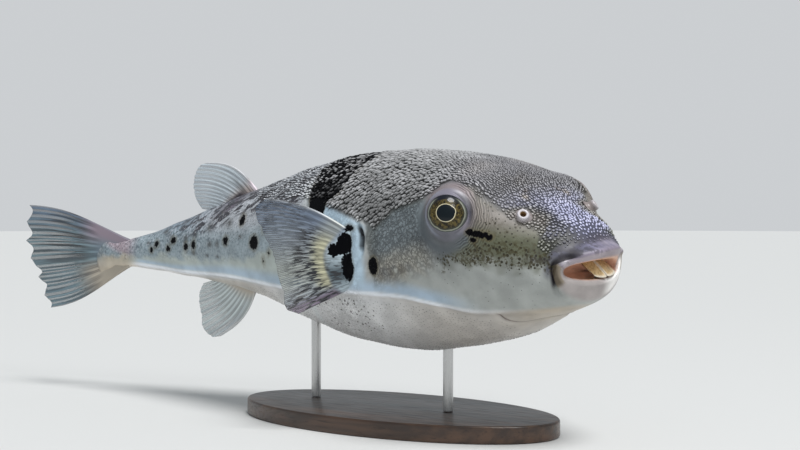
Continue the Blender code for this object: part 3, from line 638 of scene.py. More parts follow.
def painted(points, inner, back, turn):
    """The skin's plain colours, before its spots and speckles."""
    s, out, up = levels(points)
    across = np.abs(out)
    uneven = ripple(points, 0.05, 31) * 0.5 + ripple(points, 0.022, 32) * 0.35
    tone, dark = pale_side(points), dark_back(points, uneven)
    soft = 0.006 + 0.011 * fall(s, 0.28, 0.34)
    blotchy = ripple(points * (0.6, 1, 1), 0.014, 35) * fall(s, 0.28, 0.34)
    tone = mix(tone, dark, ease(up - back_line(s) + 0.012 * uneven + 0.009 * blotchy, -soft, soft))
    tone = mix(tone, (0.21, 0.25, 0.27), ease(s, 1.010, 1.040) * hump(up, -0.074, 0.022) * 0.9)
    # White skin round the gill slit and the fin, and a pale border behind the saddle.
    pocket = ease(s, 0.333, 0.348) * fall(s, 0.455, 0.490) * ease(prickle_line(s) - up, 0.002, 0.010)
    tone = mix(tone, (0.48, 0.62, 0.73), pocket * ease(up, -0.125, -0.100) * 0.95)
    border = hump(s, saddle_rear(up) + 0.0085, 0.006) * fall(up, 0.025, 0.045)
    tone = mix(tone, (0.55, 0.58, 0.58), border * 0.8)
    # The gill slit is painted black, as the shade inside the opening.
    slit = np.minimum(1.6 * hump(s, gill_line(up) + 0.0020, 0.0046), 1)
    slit *= ease(up, -0.066, -0.054) * fall(up, -0.030, -0.024)
    tone = mix(tone, (0.010, 0.010, 0.012), slit * ease(across, 0.05, 0.09))
    brown = hump(s, 0.290, 0.034) * hump(up, -0.086 - 0.15 * (0.285 - s), 0.012)
    tone = mix(tone, (0.13, 0.105, 0.06), brown * ease(uneven, -0.60, 0.20) * 0.85)
    # Painted shade in the crease under the chin.
    chin = hump(s, 0.082 + 0.040 * ease(across, 0.0, 0.075), 0.0022) * ease(-up, 0.138, 0.146)
    tone = mix(tone, (0.08, 0.055, 0.05), chin * fall(across, 0.075, 0.090) * 0.9)
    for middle, level, long, tall in SMUDGES:
        smudge = np.exp(-((s - middle) / long) ** 2 - ((up - level) / tall) ** 2) * (across > 0.01)
        tone = mix(tone, (0.045, 0.042, 0.034), smudge * (0.88 + 0.12 * ripple(points, 0.008, 34)))
    tone = with_lips(with_eyelids(tone, points), points, inner, back, turn)
    return tone * (1 + 0.10 * uneven)[..., None]


def make_mesh_object(name, points, faces, material, **layers):
    """A closed mesh in world space, from points in metres, with its painted layers."""
    mesh = bpy.data.meshes.new(name)
    mesh.from_pydata(points.tolist(), [], faces)
    work = bmesh.new()
    work.from_mesh(mesh)
    bmesh.ops.recalc_face_normals(work, faces=work.faces)
    if work.calc_volume(signed=True) < 0:
        bmesh.ops.reverse_faces(work, faces=work.faces)
    work.to_mesh(mesh)
    work.free()
    made = bpy.data.objects.new(name, mesh)
    bpy.context.scene.collection.objects.link(made)
    mesh.materials.append(material)
    mesh.shade_smooth()
    add_layers(mesh, **layers)
    return made


def add_layers(mesh, **layers):
    """Stores values, vectors and colours on the mesh's points, for its material to read."""
    for layer, values in layers.items():
        values = np.asarray(values, np.float32)
        if values.ndim == 1:
            mesh.attributes.new(layer, "FLOAT", "POINT").data.foreach_set("value", values)
        elif layer == "tone":
            four = np.concatenate([np.clip(values, 0, 1), np.ones((len(values), 1), np.float32)], 1)
            mesh.attributes.new(layer, "FLOAT_COLOR", "POINT").data.foreach_set("color", four.ravel())
        else:
            mesh.attributes.new(layer, "FLOAT_VECTOR", "POINT").data.foreach_set("vector", values.ravel())


def new_material(name, **values):
    """A material with a Principled BSDF whose sockets are given by name."""
    material = bpy.data.materials.new(name)
    material.use_nodes = True
    tree = material.node_tree
    shader = tree.nodes["Principled BSDF"]
    for socket, value in values.items():
        shader.inputs[socket.replace("_", " ").title().replace("Ior", "IOR")].default_value = value
    return material, tree, shader


def add_node(tree, kind, inputs=(), **settings):
    """A node with its settings, its inputs set to values or joined to other sockets."""
    node = tree.nodes.new(kind)
    for key, value in settings.items():
        setattr(node, key, value)
    for key, value in dict(inputs).items():
        if isinstance(value, bpy.types.NodeSocket):
            tree.links.new(value, node.inputs[key])
        else:
            node.inputs[key].default_value = value
    return node


def read_layer(tree, layer, output="Fac"):
    """What the mesh holds in one of its layers."""
    return add_node(tree, "ShaderNodeAttribute", attribute_name=layer).outputs[output]


def sums(tree, operation, a, b=0.0, clamp=False):
    """One step of arithmetic on values or sockets."""
    return add_node(tree, "ShaderNodeMath", {0: a, 1: b}, operation=operation, use_clamp=clamp).outputs[0]


def times(tree, a, b):
    return sums(tree, "MULTIPLY", a, b)


def ramped(tree, value, low, high, to_low=0.0, to_high=1.0):
    """A value carried from one range to another, with a smooth step at each end."""
    node = add_node(tree, "ShaderNodeMapRange", {"Value": value, "From Min": low, "From Max": high,
                                                 "To Min": to_low, "To Max": to_high})
    node.interpolation_type = "SMOOTHSTEP"
    return node.outputs["Result"]


def mixed(tree, share, a, b, blend="MIX"):
    """One colour mixed with another by a share."""
    node = add_node(tree, "ShaderNodeMix", data_type="RGBA", blend_type=blend)
    for key, value in ((0, share), (6, a), (7, b)):
        if isinstance(value, bpy.types.NodeSocket):
            tree.links.new(value, node.inputs[key])
        else:
            node.inputs[key].default_value = value
    return node.outputs[2]


def add_bump(tree, shader, height, strength, distance):
    """Gives the surface a relief, in which a height of 1 stands the distance out, in metres."""
    bump = add_node(tree, "ShaderNodeBump", {"Height": height, "Strength": strength, "Distance": distance})
    tree.links.new(bump.outputs["Normal"], shader.inputs["Normal"])


def noise_at(tree, vector, size, detail=2.0, stretch=(1, 1, 1)):
    """Soft noise from 0 to 1 whose lumps are about the size apart, in the vector's own unit."""
    scaled = add_node(tree, "ShaderNodeVectorMath", {0: vector, 1: tuple(v / size for v in stretch)},
                      operation="MULTIPLY").outputs[0]
    return add_node(tree, "ShaderNodeTexNoise",
                    {"Vector": scaled, "Scale": 1.0, "Detail": detail}).outputs["Fac"]


def dots_at(tree, vector, spacing, size):
    """1 inside scattered dots, whose size is a share of the spacing between them."""
    scaled = add_node(tree, "ShaderNodeVectorMath", {0: vector, "Scale": 1 / spacing},
                      operation="SCALE").outputs[0]
    near = add_node(tree, "ShaderNodeTexVoronoi", {"Vector": scaled, "Scale": 1.0}).outputs["Distance"]
    return ramped(tree, sums(tree, "SUBTRACT", size, near), -0.03, 0.05)


def make_markings():
    """The markings over the plain colours: freckles, mottling, fine specks, scales and black marks."""
    group = bpy.data.node_groups.new("fish_markings", "ShaderNodeTree")
    for way, kind, names in (("INPUT", "Color", ("Tone",)),
                             ("INPUT", "Float", ("Marks", "Freckles", "Mottle", "Pits", "Specks", "Scales")),
                             ("INPUT", "Vector", ("Place",)), ("OUTPUT", "Color", ("Color",)),
                             ("OUTPUT", "Float", ("Black", "Raised"))):
        for name in names:
            group.interface.new_socket(name, in_out=way, socket_type="NodeSocket" + kind)
    given = group.nodes.new("NodeGroupInput").outputs
    where = given["Place"]
    cloud = noise_at(group, where, 0.011, 4.0)
    fine = noise_at(group, where, 0.0016, 3.0)
    slanted = add_node(group, "ShaderNodeVectorRotate", {"Vector": where, "Angle": math.radians(-32)},
                       rotation_type="Y_AXIS").outputs[0]
    streak = noise_at(group, slanted, 0.0036, 4.0, (0.36, 1, 1))
    shade = ramped(group, cloud, 0.3, 0.7, 0.88, 1.10)
    colour = mixed(group, 1.0, given["Tone"], shade, "MULTIPLY")
    waver = add_node(group, "ShaderNodeTexNoise",
                     {"Vector": where, "Scale": 260.0, "Detail": 2.0}).outputs["Color"]
    waver = add_node(group, "ShaderNodeVectorMath", {0: waver, "Scale": 1.3}, operation="SCALE").outputs[0]
    cells = add_node(group, "ShaderNodeVectorMath", {0: where, "Scale": 1 / 0.0029},
                     operation="SCALE").outputs[0]
    cells = add_node(group, "ShaderNodeVectorMath", {0: cells, 1: waver}, operation="ADD").outputs[0]
    cells = add_node(group, "ShaderNodeTexVoronoi", {"Vector": cells, "Scale": 1.0},
                     feature="DISTANCE_TO_EDGE")
    plate = ramped(group, cells.outputs["Distance"], 0.0, 0.30)
    scaly = sums(group, "ADD", plate, ramped(group, fine, 0.3, 0.7, -0.5, 0.5))
    scaly = ramped(group, scaly, 0.0, 1.2, 0.62, 1.30)
    ground = mixed(group, 1.0, colour, scaly, "MULTIPLY")
    colour = mixed(group, given["Scales"], colour, ground)
    freckle = dots_at(group, where, 0.0023, times(group, given["Freckles"], 0.34))
    colour = mixed(group, times(group, freckle, 0.95), colour, (0.022, 0.018, 0.009, 1))
    merged = times(group, ramped(group, fine, 0.46, 0.58),
                  ramped(group, given["Freckles"], 0.62, 1.0))
    colour = mixed(group, times(group, merged, 0.80), colour, (0.048, 0.040, 0.016, 1))
    mottle = times(group, ramped(group, streak, 0.47, 0.53), given["Mottle"])
    colour = mixed(group, mottle, colour, (0.040, 0.036, 0.042, 1))
    pits = dots_at(group, where, 0.0034, times(group, given["Pits"], 0.24))
    colour = mixed(group, times(group, pits, 0.85), colour, (0.06, 0.055, 0.05, 1))
    peppered = noise_at(group, where, 0.0017, 3.0)
    specks = times(group, ramped(group, peppered, 0.50, 0.64), given["Specks"])
    colour = mixed(group, specks, colour, (0.050, 0.065, 0.090, 1))
    specks = times(group, ramped(group, peppered, 0.44, 0.34, 0.0, 0.55), given["Specks"])
    colour = mixed(group, specks, colour, (0.62, 0.64, 0.72, 1))
    edge = sums(group, "ADD", given["Marks"], ramped(group, fine, 0.3, 0.7, -0.32, 0.32))
    halo = times(group, ramped(group, edge, -1.7, -0.2), 0.40)
    colour = mixed(group, halo, colour, (0.13, 0.105, 0.05, 1))
    black = ramped(group, edge, -0.35, 0.35)
    colour = mixed(group, black, colour, (0.002, 0.002, 0.003, 1))
    result = group.nodes.new("NodeGroupOutput").inputs
    group.links.new(colour, result["Color"])
    group.links.new(black, result["Black"])
    group.links.new(times(group, plate, given["Scales"]), result["Raised"])
    return group


MARKINGS = make_markings()


def add_markings(tree):
    """The markings' node, fed from the mesh's layers."""
    node = add_node(tree, "ShaderNodeGroup", node_tree=MARKINGS)
    tree.links.new(read_layer(tree, "tone", "Color"), node.inputs["Tone"])
    for layer in ("marks", "freckles", "mottle", "pits", "specks", "scales"):
        tree.links.new(read_layer(tree, layer), node.inputs[layer.title()])
    tree.links.new(read_layer(tree, "place", "Vector"), node.inputs["Place"])
    return node


# How far above the back's lower edge the dark streaks behind the saddle begin.
streaky_line = smooth_curve([0.48, 0.58, 0.64, 0.68, 0.74, 0.85], [0.050, 0.072, 0.072, 0.062, 0.046, 0.035])


def marking_layers(points):
    """What the markings read at each point of a mesh, given in fish coordinates."""
    s, out, up = levels(points)
    lift = up - back_line(s)
    wander = lift + 0.006 * ripple(points, 0.030, 51)
    orbit = orbit_distance(points)
    smooth = fall(up - prickle_line(s), -0.006, 0.010)
    freckles = ease(wander, -0.028, 0.006) * smooth * ease(s, 0.020, 0.036)
    freckles *= fall(s + 0.015 * ripple(points, 0.03, 52), 0.175, 0.215)
    freckles *= 0.74 + 0.42 * hump(wander, 0.006, 0.018) + 0.10 * ripple(points, 0.012, 54)
    freckles *= ease(orbit, 0.044, 0.056)
    outside = np.maximum(ease(s, 0.045, 0.060), ease(np.abs(out), 0.049, 0.056))
    freckles *= outside
    mottle = ease(s, 0.475, 0.510) * (1 - 0.6 * ease(s, 0.74, 0.90))
    mottle *= ease(lift - streaky_line(s) + 0.008 * ripple(points, 0.04, 53), -0.012, 0.012)
    mottle = np.maximum(mottle, 0.45 * hump(s, 0.285, 0.045) * hump(up, -0.090, 0.014))
    lip = fall(s - 5 * out**2, 0.012, 0.024) * ease(up + 0.012 * ease(out, 0.02, 0.05), -0.066, -0.057)
    mottle = np.maximum(mottle, 0.6 * lip * ease(out, -0.020, 0.020))
    pits = ease(fold_line(s) - up, 0.004, 0.012) * hump(s, 0.40, 0.11) * fall(-up, 0.175, 0.20)
    pits += 0.35 * fall(lift, -0.004, 0.002) * fall(s, 0.16, 0.26) * outside
    specks = ease(s, 0.46, 0.50) * ease(lift + 0.004 * ripple(points, 0.02, 55), -0.010, 0.004)
    towards_tail = 0.35 * ease(s, 0.62, 0.80) * ease(lift - 0.4 * streaky_line(s), -0.020, 0.020)
    specks *= 0.30 + towards_tail + 0.15 * ease(s, 0.9, 0.96)
    scales = ease(s, 0.175, 0.215) * fall(s, 0.315, 0.345) * smooth * ease(lift, -0.016, 0.012)
    shoulder = 0.3 * ease(s, 0.345, 0.36) * fall(s, 0.44, 0.47) * smooth
    scales = np.maximum(scales * ease(orbit, 0.046, 0.056), shoulder)
    return {"marks": black_marks(points), "freckles": freckles, "mottle": mottle, "pits": pits,
            "specks": specks, "scales": scales, "place": points * STANDARD_LENGTH}


def fineness(points):
    """1 over the forehead and the neck, where the prickles are finest, and 0 over the snout and flanks."""
    s, out, _ = levels(points)
    return hump(s, 0.165, 0.070) * fall(np.abs(out) + 0.012 * ripple(points, 0.06, 63), 0.065, 0.105)


skin_points, skin_faces, skin_back, skin_turn, skin_inner = build_skin()
skin_tone = painted(skin_points, skin_inner, skin_back, skin_turn)
# Painted shade on the skin between the prickles, lighter where they are finest and along their lower edge on
# the snout.
between = prickled(skin_points) * (1 - 0.55 * ease(skin_points[:, 0], 0.50, 0.60))
between *= 1 - 0.50 * fineness(skin_points)
near_edge = fall(skin_points[:, 2] - prickle_line(skin_points[:, 0]), 0.0, 0.022)
between *= 1 - 0.25 * near_edge * fall(skin_points[:, 0], 0.08, 0.12)
skin_tone = mix(skin_tone, skin_tone * 0.16, between)
skin_paint, tree, shader = new_material("fish_skin", roughness=0.45, specular_ior_level=0.05,
                                        coat_roughness=0.42)
markings = add_markings(tree)
where = read_layer(tree, "place", "Vector")
grain = noise_at(tree, where, 0.0011, 3.0)
wander = ramped(tree, noise_at(tree, where, 0.005), 0.3, 0.7, -2.4, 2.4)
rings = sums(tree, "ADD", times(tree, read_layer(tree, "orbit"), 4.6), wander)
rings = sums(tree, "SINE", rings)
rings = times(tree, rings, read_layer(tree, "wrinkled"))
lined = mixed(tree, 1.0, markings.outputs["Color"], ramped(tree, rings, -1.0, 1.0, 0.66, 1.50), "MULTIPLY")
tree.links.new(lined, shader.inputs["Base Color"])
tree.links.new(ramped(tree, markings.outputs["Black"], 0.2, 0.8, 0.55, 0.0), shader.inputs["Coat Weight"])
height = sums(tree, "ADD", grain, times(tree, rings, 0.7))
height = sums(tree, "ADD", height, times(tree, markings.outputs["Raised"], 0.8))
add_bump(tree, shader, height, 0.45, 0.0004)
forward = nearer_orbit(skin_points)[0]
reach = orbit_distance(skin_points)
wrinkled = ease(reach, 0.036, 0.041) * fall(reach, 0.052, 0.070)
wrinkled *= ease(forward / np.maximum(reach, 1e-6), 0.1, 0.6)
skin = make_mesh_object("skin", place(skin_points), skin_faces, skin_paint, tone=skin_tone,
                        orbit=reach * STANDARD_LENGTH * 1000, wrinkled=wrinkled,
                        **marking_layers(skin_points))
skin.data.attributes.active_color_name = "tone"
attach(skin, "root")
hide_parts("head", "trunk", "tail_stalk", "lip_upper", "lip_lower")

# ================================================================ Prickles
# Short blunt spines that stud the back from the snout to the dorsal fin, with finer ones on the
# belly and flanks. They are cast with the skin and carry its colours, with paler tips that are
# painted highlights, and painted shade low on their sides.


def grow_prickles(first, last, rows_apart, spacing, allowed, seed):
    """Scatters roots in staggered rows round the body, spaced by arc length: (back, turn) of each."""
    rng = np.random.default_rng(seed)
    backs, turns = [], []
    ring = np.linspace(-math.pi / 2, 1.5 * math.pi, 1441)
    back, row = first, 0
    while back < last:
        points = skin_point(np.full_like(ring, back), ring)
        steps = np.linalg.norm(np.diff(points, axis=0), axis=1)
        middle = (points[1:] + points[:-1]) / 2
        count = np.concatenate([[0], np.cumsum(steps / spacing(middle))])
        count -= np.interp(math.pi / 2, ring, count)
        wanted = np.arange(math.ceil(count[0]), count[-1]) + 0.5 * (row % 2)
        wanted = wanted[(wanted > count[0]) & (wanted < count[-1])]
        wanted = wanted + rng.uniform(-0.30, 0.30, len(wanted))
        turns.append(np.interp(wanted, count, ring))
        backs.append(back + rng.uniform(-0.30, 0.30, len(wanted)) * rows_apart(back))
        back += rows_apart(back)
        row += 1
    backs, turns = np.concatenate(backs), np.concatenate(turns)
    chosen = allowed(skin_point(backs, turns)) > rng.uniform(0.15, 0.75, len(backs))
    return backs[chosen], turns[chosen]


def skin_axes(back, turn):
    """The skin's points in fish coordinates, with unit vectors back along it, round it and out of it."""
    step = 0.0008
    here = solid_skin(back, turn)
    along = solid_skin(back + step, turn) - solid_skin(back - step, turn)
    along /= np.linalg.norm(along, axis=1, keepdims=True)
    round_it = solid_skin(back, turn + 0.008) - solid_skin(back, turn - 0.008)
    out = np.cross(round_it, along)
    out /= np.linalg.norm(out, axis=1, keepdims=True)
    return here, along, np.cross(along, out), out


def girth_share(back, turn):
    """Arc length round the body as a share of the widest girth, with 0.5 along the middle of the back."""
    ring = np.linspace(-math.pi / 2, 1.5 * math.pi, 181)
    stations = np.linspace(0, 1, 101)
    grid = skin_point(*np.meshgrid(stations, ring, indexing="ij"))
    steps = np.linalg.norm(np.diff(grid, axis=1), axis=2)
    arcs = np.concatenate([np.zeros((101, 1)), np.cumsum(steps, 1)], 1)
    share = (arcs - arcs[:, 90:91]) / arcs[:, -1].max() + 0.5
    row = np.clip(np.asarray(back) * 100, 0, 99.999)
    column = np.clip((np.asarray(turn) + math.pi / 2) / (2 * math.pi) * 180, 0, 179.999)
    i, j = row.astype(int), column.astype(int)
    u, v = row - i, column - j
    low = share[i, j] * (1 - v) + share[i, j + 1] * v
    high = share[i + 1, j] * (1 - v) + share[i + 1, j + 1] * v
    return low * (1 - u) + high * u


# A prickle's rings: how far out, and how high, as shares of its radius and its height.
BLUNT = ((1.00, -0.55), (0.93, 0.20), (0.66, 0.74), (0.28, 0.97))
FINE = ((1.00, -0.60), (0.62, 0.60))
BLUNT_CORNERS = 8
FINE_CORNERS = 6
PIECE_TRIANGLES = 190000


def shared_out(count, rings, corners):
    """The prickles' numbers in even groups, with few enough triangles in each for one piece."""
    each = 2 * corners * len(rings) - 2
    return enumerate(np.array_split(np.arange(count), math.ceil(count * each / PIECE_TRIANGLES)), 1)


def make_prickles(name, back, turn, radius, height, stretch, slant, lean, pale, rings, corners):
    """One mesh of many prickles, each a closed blunt cone leaning back with the lie of the skin."""
    here, along, round_it, out = skin_axes(back, turn)
    count = len(back)
    turned = -slant * np.sign(here[:, 1])
    long_way = along * np.cos(turned)[:, None] + round_it * np.sin(turned)[:, None]
    cross_way = np.cross(out, long_way) / stretch[:, None] ** 0.5
    long_way *= stretch[:, None]
    spokes = np.linspace(0, 2 * math.pi, corners, endpoint=False)
    blocks, tips, local = [], [], []
    top = len(rings)
    for share, level in (*rings, (0.0, 1.0)):
        turns_here = spokes if share else spokes[:1]
        cos, sin = np.cos(turns_here), np.sin(turns_here)
        shift = (lean * radius * max(level, 0) ** 1.3)[:, None] * along
        centre = here + shift + (height * level)[:, None] * out
        reach = (radius * share)[:, None, None]
        spread = cos[:, None] * long_way[:, None] + sin[:, None] * cross_way[:, None]
        blocks.append(centre[:, None] + reach * spread)
        tips.append(np.full(len(cos), max(level, 0)))
        local.append(np.stack([cos, sin], -1) * (0.35 + 0.65 * share if share else 0))
    points = np.concatenate(blocks, 1)
    each = points.shape[1]
    faces = []
    for ring in range(top - 1):
        for k in range(corners):
            a, b = ring * corners + k, ring * corners + (k + 1) % corners
            faces += [(a, b, b + corners), (a, b + corners, a + corners)]
    last = (top - 1) * corners
    faces += [(last + k, last + (k + 1) % corners, each - 1) for k in range(corners)]
    faces += [(0, k + 1, k) for k in range(1, corners - 1)]
    faces = np.array(faces)
    triangles = (np.arange(count)[:, None, None] * each + faces).reshape(-1, 3)
    mesh = bpy.data.meshes.new(name)
    world = place(points.reshape(-1, 3))
    corner = world[triangles[:, 2]]
    peak = world[np.repeat(np.arange(count) * each + each - 1, len(faces))]
    signed = np.einsum("ij,ij->i", world[triangles[:, 0]] - corner,
                       np.cross(world[triangles[:, 1]] - corner, peak - corner))
    if np.median(signed[signed != 0]) > 0:
        triangles = triangles[:, ::-1]
    mesh.vertices.add(len(world))
    mesh.vertices.foreach_set("co", world.ravel())
    mesh.loops.add(triangles.size)
    mesh.loops.foreach_set("vertex_index", triangles.ravel().astype(np.int32))
    mesh.polygons.add(len(triangles))
    mesh.polygons.foreach_set("loop_start", np.arange(0, triangles.size, 3, dtype=np.int32))
    mesh.update(calc_edges=True)
    made = bpy.data.objects.new(name, mesh)
    bpy.context.scene.collection.objects.link(made)
    mesh.materials.append(prickle_paint)
    mesh.shade_smooth()
    tone = np.repeat(painted(here, np.zeros(count), back, turn), each, 0)
    layers = {key: np.repeat(value, each, 0) for key, value in marking_layers(here).items()}
    add_layers(mesh, tone=tone, tip=np.tile(np.concatenate(tips), count), pale=np.repeat(pale, each),
               **layers)
    # Each prickle has its own small patch on the OFBake map, where its root is when the skin is laid flat.
    girth = girth_share(back, turn)
    patch = np.stack([girth, back], -1)[:, None] * 0.98 + 0.01 + 0.0015 * np.concatenate(local)[None]
    unwrap = mesh.uv_layers.new(name="OFBake")
    unwrap.data.foreach_set("uv", patch.reshape(-1, 2)[triangles.ravel()].ravel())
    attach(made, "root")


prickle_paint, tree, shader = new_material("fish_prickles", roughness=0.36, specular_ior_level=0.05,
                                           coat_roughness=0.34)
markings = add_markings(tree)
tip = read_layer(tree, "tip")
# A painted highlight on each tip: a brighter copy of the skin's tone, as strong as the prickle's pale value.
tip_highlight = times(tree, ramped(tree, tip, 0.50, 1.0), read_layer(tree, "pale"))
# Painted shade: each prickle darkens towards its root.
root_shade = ramped(tree, tip, 0.05, 0.80, 0.10, 1.0)
colour = mixed(tree, 1.0, markings.outputs["Color"], root_shade, "MULTIPLY")
lit_tip_tone = mixed(tree, 0.38, (0.53, 0.53, 0.55, 1), mixed(tree, 1.0, read_layer(tree, "tone", "Color"),
                                                     (2.8, 2.75, 2.7, 1), "MULTIPLY"))
colour = mixed(tree, tip_highlight, colour, lit_tip_tone)
tree.links.new(colour, shader.inputs["Base Color"])
tree.links.new(ramped(tree, markings.outputs["Black"], 0.2, 0.8, 0.70, 0.10), shader.inputs["Coat Weight"])

row_gap = smooth_curve([0.00, 0.05, 0.10, 0.13, 0.20, 0.24, 0.30, 0.45, 0.60, 0.68],
                       [0.0040, 0.0042, 0.0038, 0.0028, 0.0028, 0.0038, 0.0052, 0.0054, 0.0050, 0.0048])


def pitch(points):
    """Distance between neighbouring prickles."""
    s = levels(points)[0]
    plain = 0.0047 + 0.0010 * ease(s, 0.20, 0.34) - 0.0007 * ease(s, 0.44, 0.52)
    return plain + (0.0030 - plain) * fineness(points)


backs, turns = grow_prickles(0.005, 0.665, row_gap, lambda p: pitch(p) ** 2 / row_gap(p[:, 0]), prickled, 5)
order = np.argsort(backs)
backs, turns = backs[order], turns[order]
roots = skin_point(backs, turns)
along, out, level = levels(roots)
rng = np.random.default_rng(8)
shoulder = ease(along, 0.17, 0.24) * fall(along, 0.42, 0.47)
rear = ease(along, 0.44, 0.52)
fine = fineness(roots)
size = 0.56 * pitch(roots) * rng.uniform(0.74, 1.18, len(backs)) * (1 - 0.20 * rear)
size *= 1 - 0.12 * fall(along, 0.06, 0.10)
near_edge = 0.60 + 0.40 * ease(prickled(roots), 0.3, 1.0)
size *= near_edge * (0.55 + 0.45 * ease(along - 3 * out**2, 0.005, 0.035))
tall = size * (0.85 + 0.15 * shoulder - 0.25 * rear - 0.10 * fine)
stretch = 1.22 + 0.40 * shoulder + 0.50 * rear
slant = np.radians(35) * shoulder - np.radians(12) * rear + np.radians(40) * fall(along, 0.07, 0.12)
# How strongly each prickle's tip carries the painted highlight.
pale = (0.70 + 0.28 * shoulder + 0.42 * rear - 0.32 * fine) * rng.uniform(0.30, 1.2, len(backs))
pale *= 1 + 0.45 * ripple(roots, 0.045, 61)
pale *= 1 + 0.6 * hump(along, 0.500, 0.030)
pale *= 1 - 0.85 * hump(along, 0.315, 0.050) * hump(level, -0.004, 0.022)
mottled = marking_layers(roots)["mottle"] * ease(ripple(roots * (0.5, 1, 1), 0.013, 62), -0.15, 0.25)
pale *= 1 - 0.85 * mottled
on_saddle = ease(black_marks(roots), -0.5, 0.5)
pale *= 1 - on_saddle * (1 - 0.85 * ease(level, -0.004, 0.055) * (rng.uniform(0, 1, len(backs)) < 0.55))
for number, chosen in shared_out(len(backs), BLUNT, BLUNT_CORNERS):
    make_prickles(f"coat_back_{number}", backs[chosen], turns[chosen], size[chosen], tall[chosen],
                  stretch[chosen], slant[chosen], 0.5, pale[chosen], BLUNT, BLUNT_CORNERS)


def spinuled(points):
    """1 where the belly, the flank and the gill cover carry fine spinules."""
    s, _, up = levels(points)
    belly = ease(fold_line(s) - up, 0.006, 0.016) * ease(s, 0.10, 0.18) * fall(s, 0.60, 0.70)
    cover = ease(s, 0.19, 0.23) * fall(s, 0.318, 0.332) * ease(prickle_line(s) - up, 0.0, 0.006)
    cover = cover * ease(up - back_line(s), 0.0, 0.012) * ease(orbit_distance(points), 0.050, 0.060)
    flank = ease(s, 0.50, 0.54) * fall(s, 0.66, 0.74) * ease(prickle_line(s) - up, 0.0, 0.006)
    flank = flank * ease(up - back_line(s), 0.015, 0.035)
    return np.maximum(np.maximum(belly, cover), flank * 0.7)


backs, turns = grow_prickles(0.10, 0.74, lambda b: 0.0056, lambda p: np.full(len(p), 0.0062), spinuled, 6)
roots = skin_point(backs, turns)
on_back = ease(roots[:, 2] - back_line(roots[:, 0]), 0, 0.01)
fine = 0.00105 * rng.uniform(0.8, 1.2, len(backs)) * (1 + 0.35 * on_back)
unmarked = fall(black_marks(roots), -1.2, -0.2)
for number, chosen in shared_out(len(backs), FINE, FINE_CORNERS):
    make_prickles(f"coat_fine_{number}", backs[chosen], turns[chosen], fine[chosen], fine[chosen] * 0.6,
                  np.full(len(chosen), 1.3), np.zeros(len(chosen)), 0.6, 0.40 * unmarked[chosen],
                  FINE, FINE_CORNERS)

# ================================================================ Eyes
# Two glass-like domes with a painted iris and a black pupil, set in the orbits under the skin's lids.
# Each is one polished ball, flattened along its line of sight.

EYE_OPENING = 0.0284
IRIS_LENGTH = 1.08
IRIS_HEIGHT = 0.93
UNPAINTED = 2.0
SIDES = ((1, "right"), (-1, "left"))


def closed_rings(rings):
    """Points and faces of a solid made of rings of points, with a cap on the first and on the last."""
    rings = np.array(rings)
    count, around = rings.shape[:2]
    number = np.arange(count * around).reshape(count, around)
    following = np.roll(number, -1, axis=1)
    faces = np.stack([number[:-1], following[:-1], following[1:], number[1:]], -1).reshape(-1, 4).tolist()
    return rings.reshape(-1, 3), faces + [number[0].tolist(), number[-1].tolist()]


eye_glass, tree, shader = new_material("eye_glass", roughness=0.3, specular_ior_level=0.1, coat_weight=0.35,
                                       coat_roughness=0.02)
radius = read_layer(tree, "radius")
where = read_layer(tree, "place", "Vector")
marbled = noise_at(tree, where, 0.0018, 4.0)
coarse = noise_at(tree, where, 0.0045, 2.0)
flakes = noise_at(tree, where, 0.0006, 2.0)
wavy = sums(tree, "ADD", radius, ramped(tree, coarse, 0.3, 0.7, -0.018, 0.018))
gold = mixed(tree, ramped(tree, marbled, 0.40, 0.62), (0.014, 0.011, 0.005, 1), (0.105, 0.078, 0.022, 1))
gold = mixed(tree, ramped(tree, flakes, 0.58, 0.76, 0.0, 0.8), gold, (0.25, 0.20, 0.08, 1))
gold = mixed(tree, ramped(tree, wavy, 0.73, 0.82), gold, (0.040, 0.042, 0.030, 1))
gold = mixed(tree, ramped(tree, wavy, 0.825, 0.850), gold, (0.30, 0.31, 0.25, 1))
gold = mixed(tree, ramped(tree, wavy, 0.870, 0.900), gold, (0.10, 0.11, 0.10, 1))
gold = mixed(tree, ramped(tree, radius, 0.930, 0.965), gold, (0.02, 0.022, 0.028, 1))
gold = mixed(tree, ramped(tree, radius, 0.456, 0.474, 1.0, 0.0), gold, (0.62, 0.56, 0.38, 1))
gold = mixed(tree, ramped(tree, radius, 0.420, 0.440, 1.0, 0.0), gold, (0.003, 0.007, 0.010, 1))
# Painted shadow of the upper lid across the top of the iris.
lid_shadow = times(tree, ramped(tree, read_layer(tree, "upper"), 0.50, 0.92),
                ramped(tree, radius, 0.62, 0.74))
gold = mixed(tree, lid_shadow, gold, (0.006, 0.008, 0.014, 1))
tree.links.new(gold, shader.inputs["Base Color"])

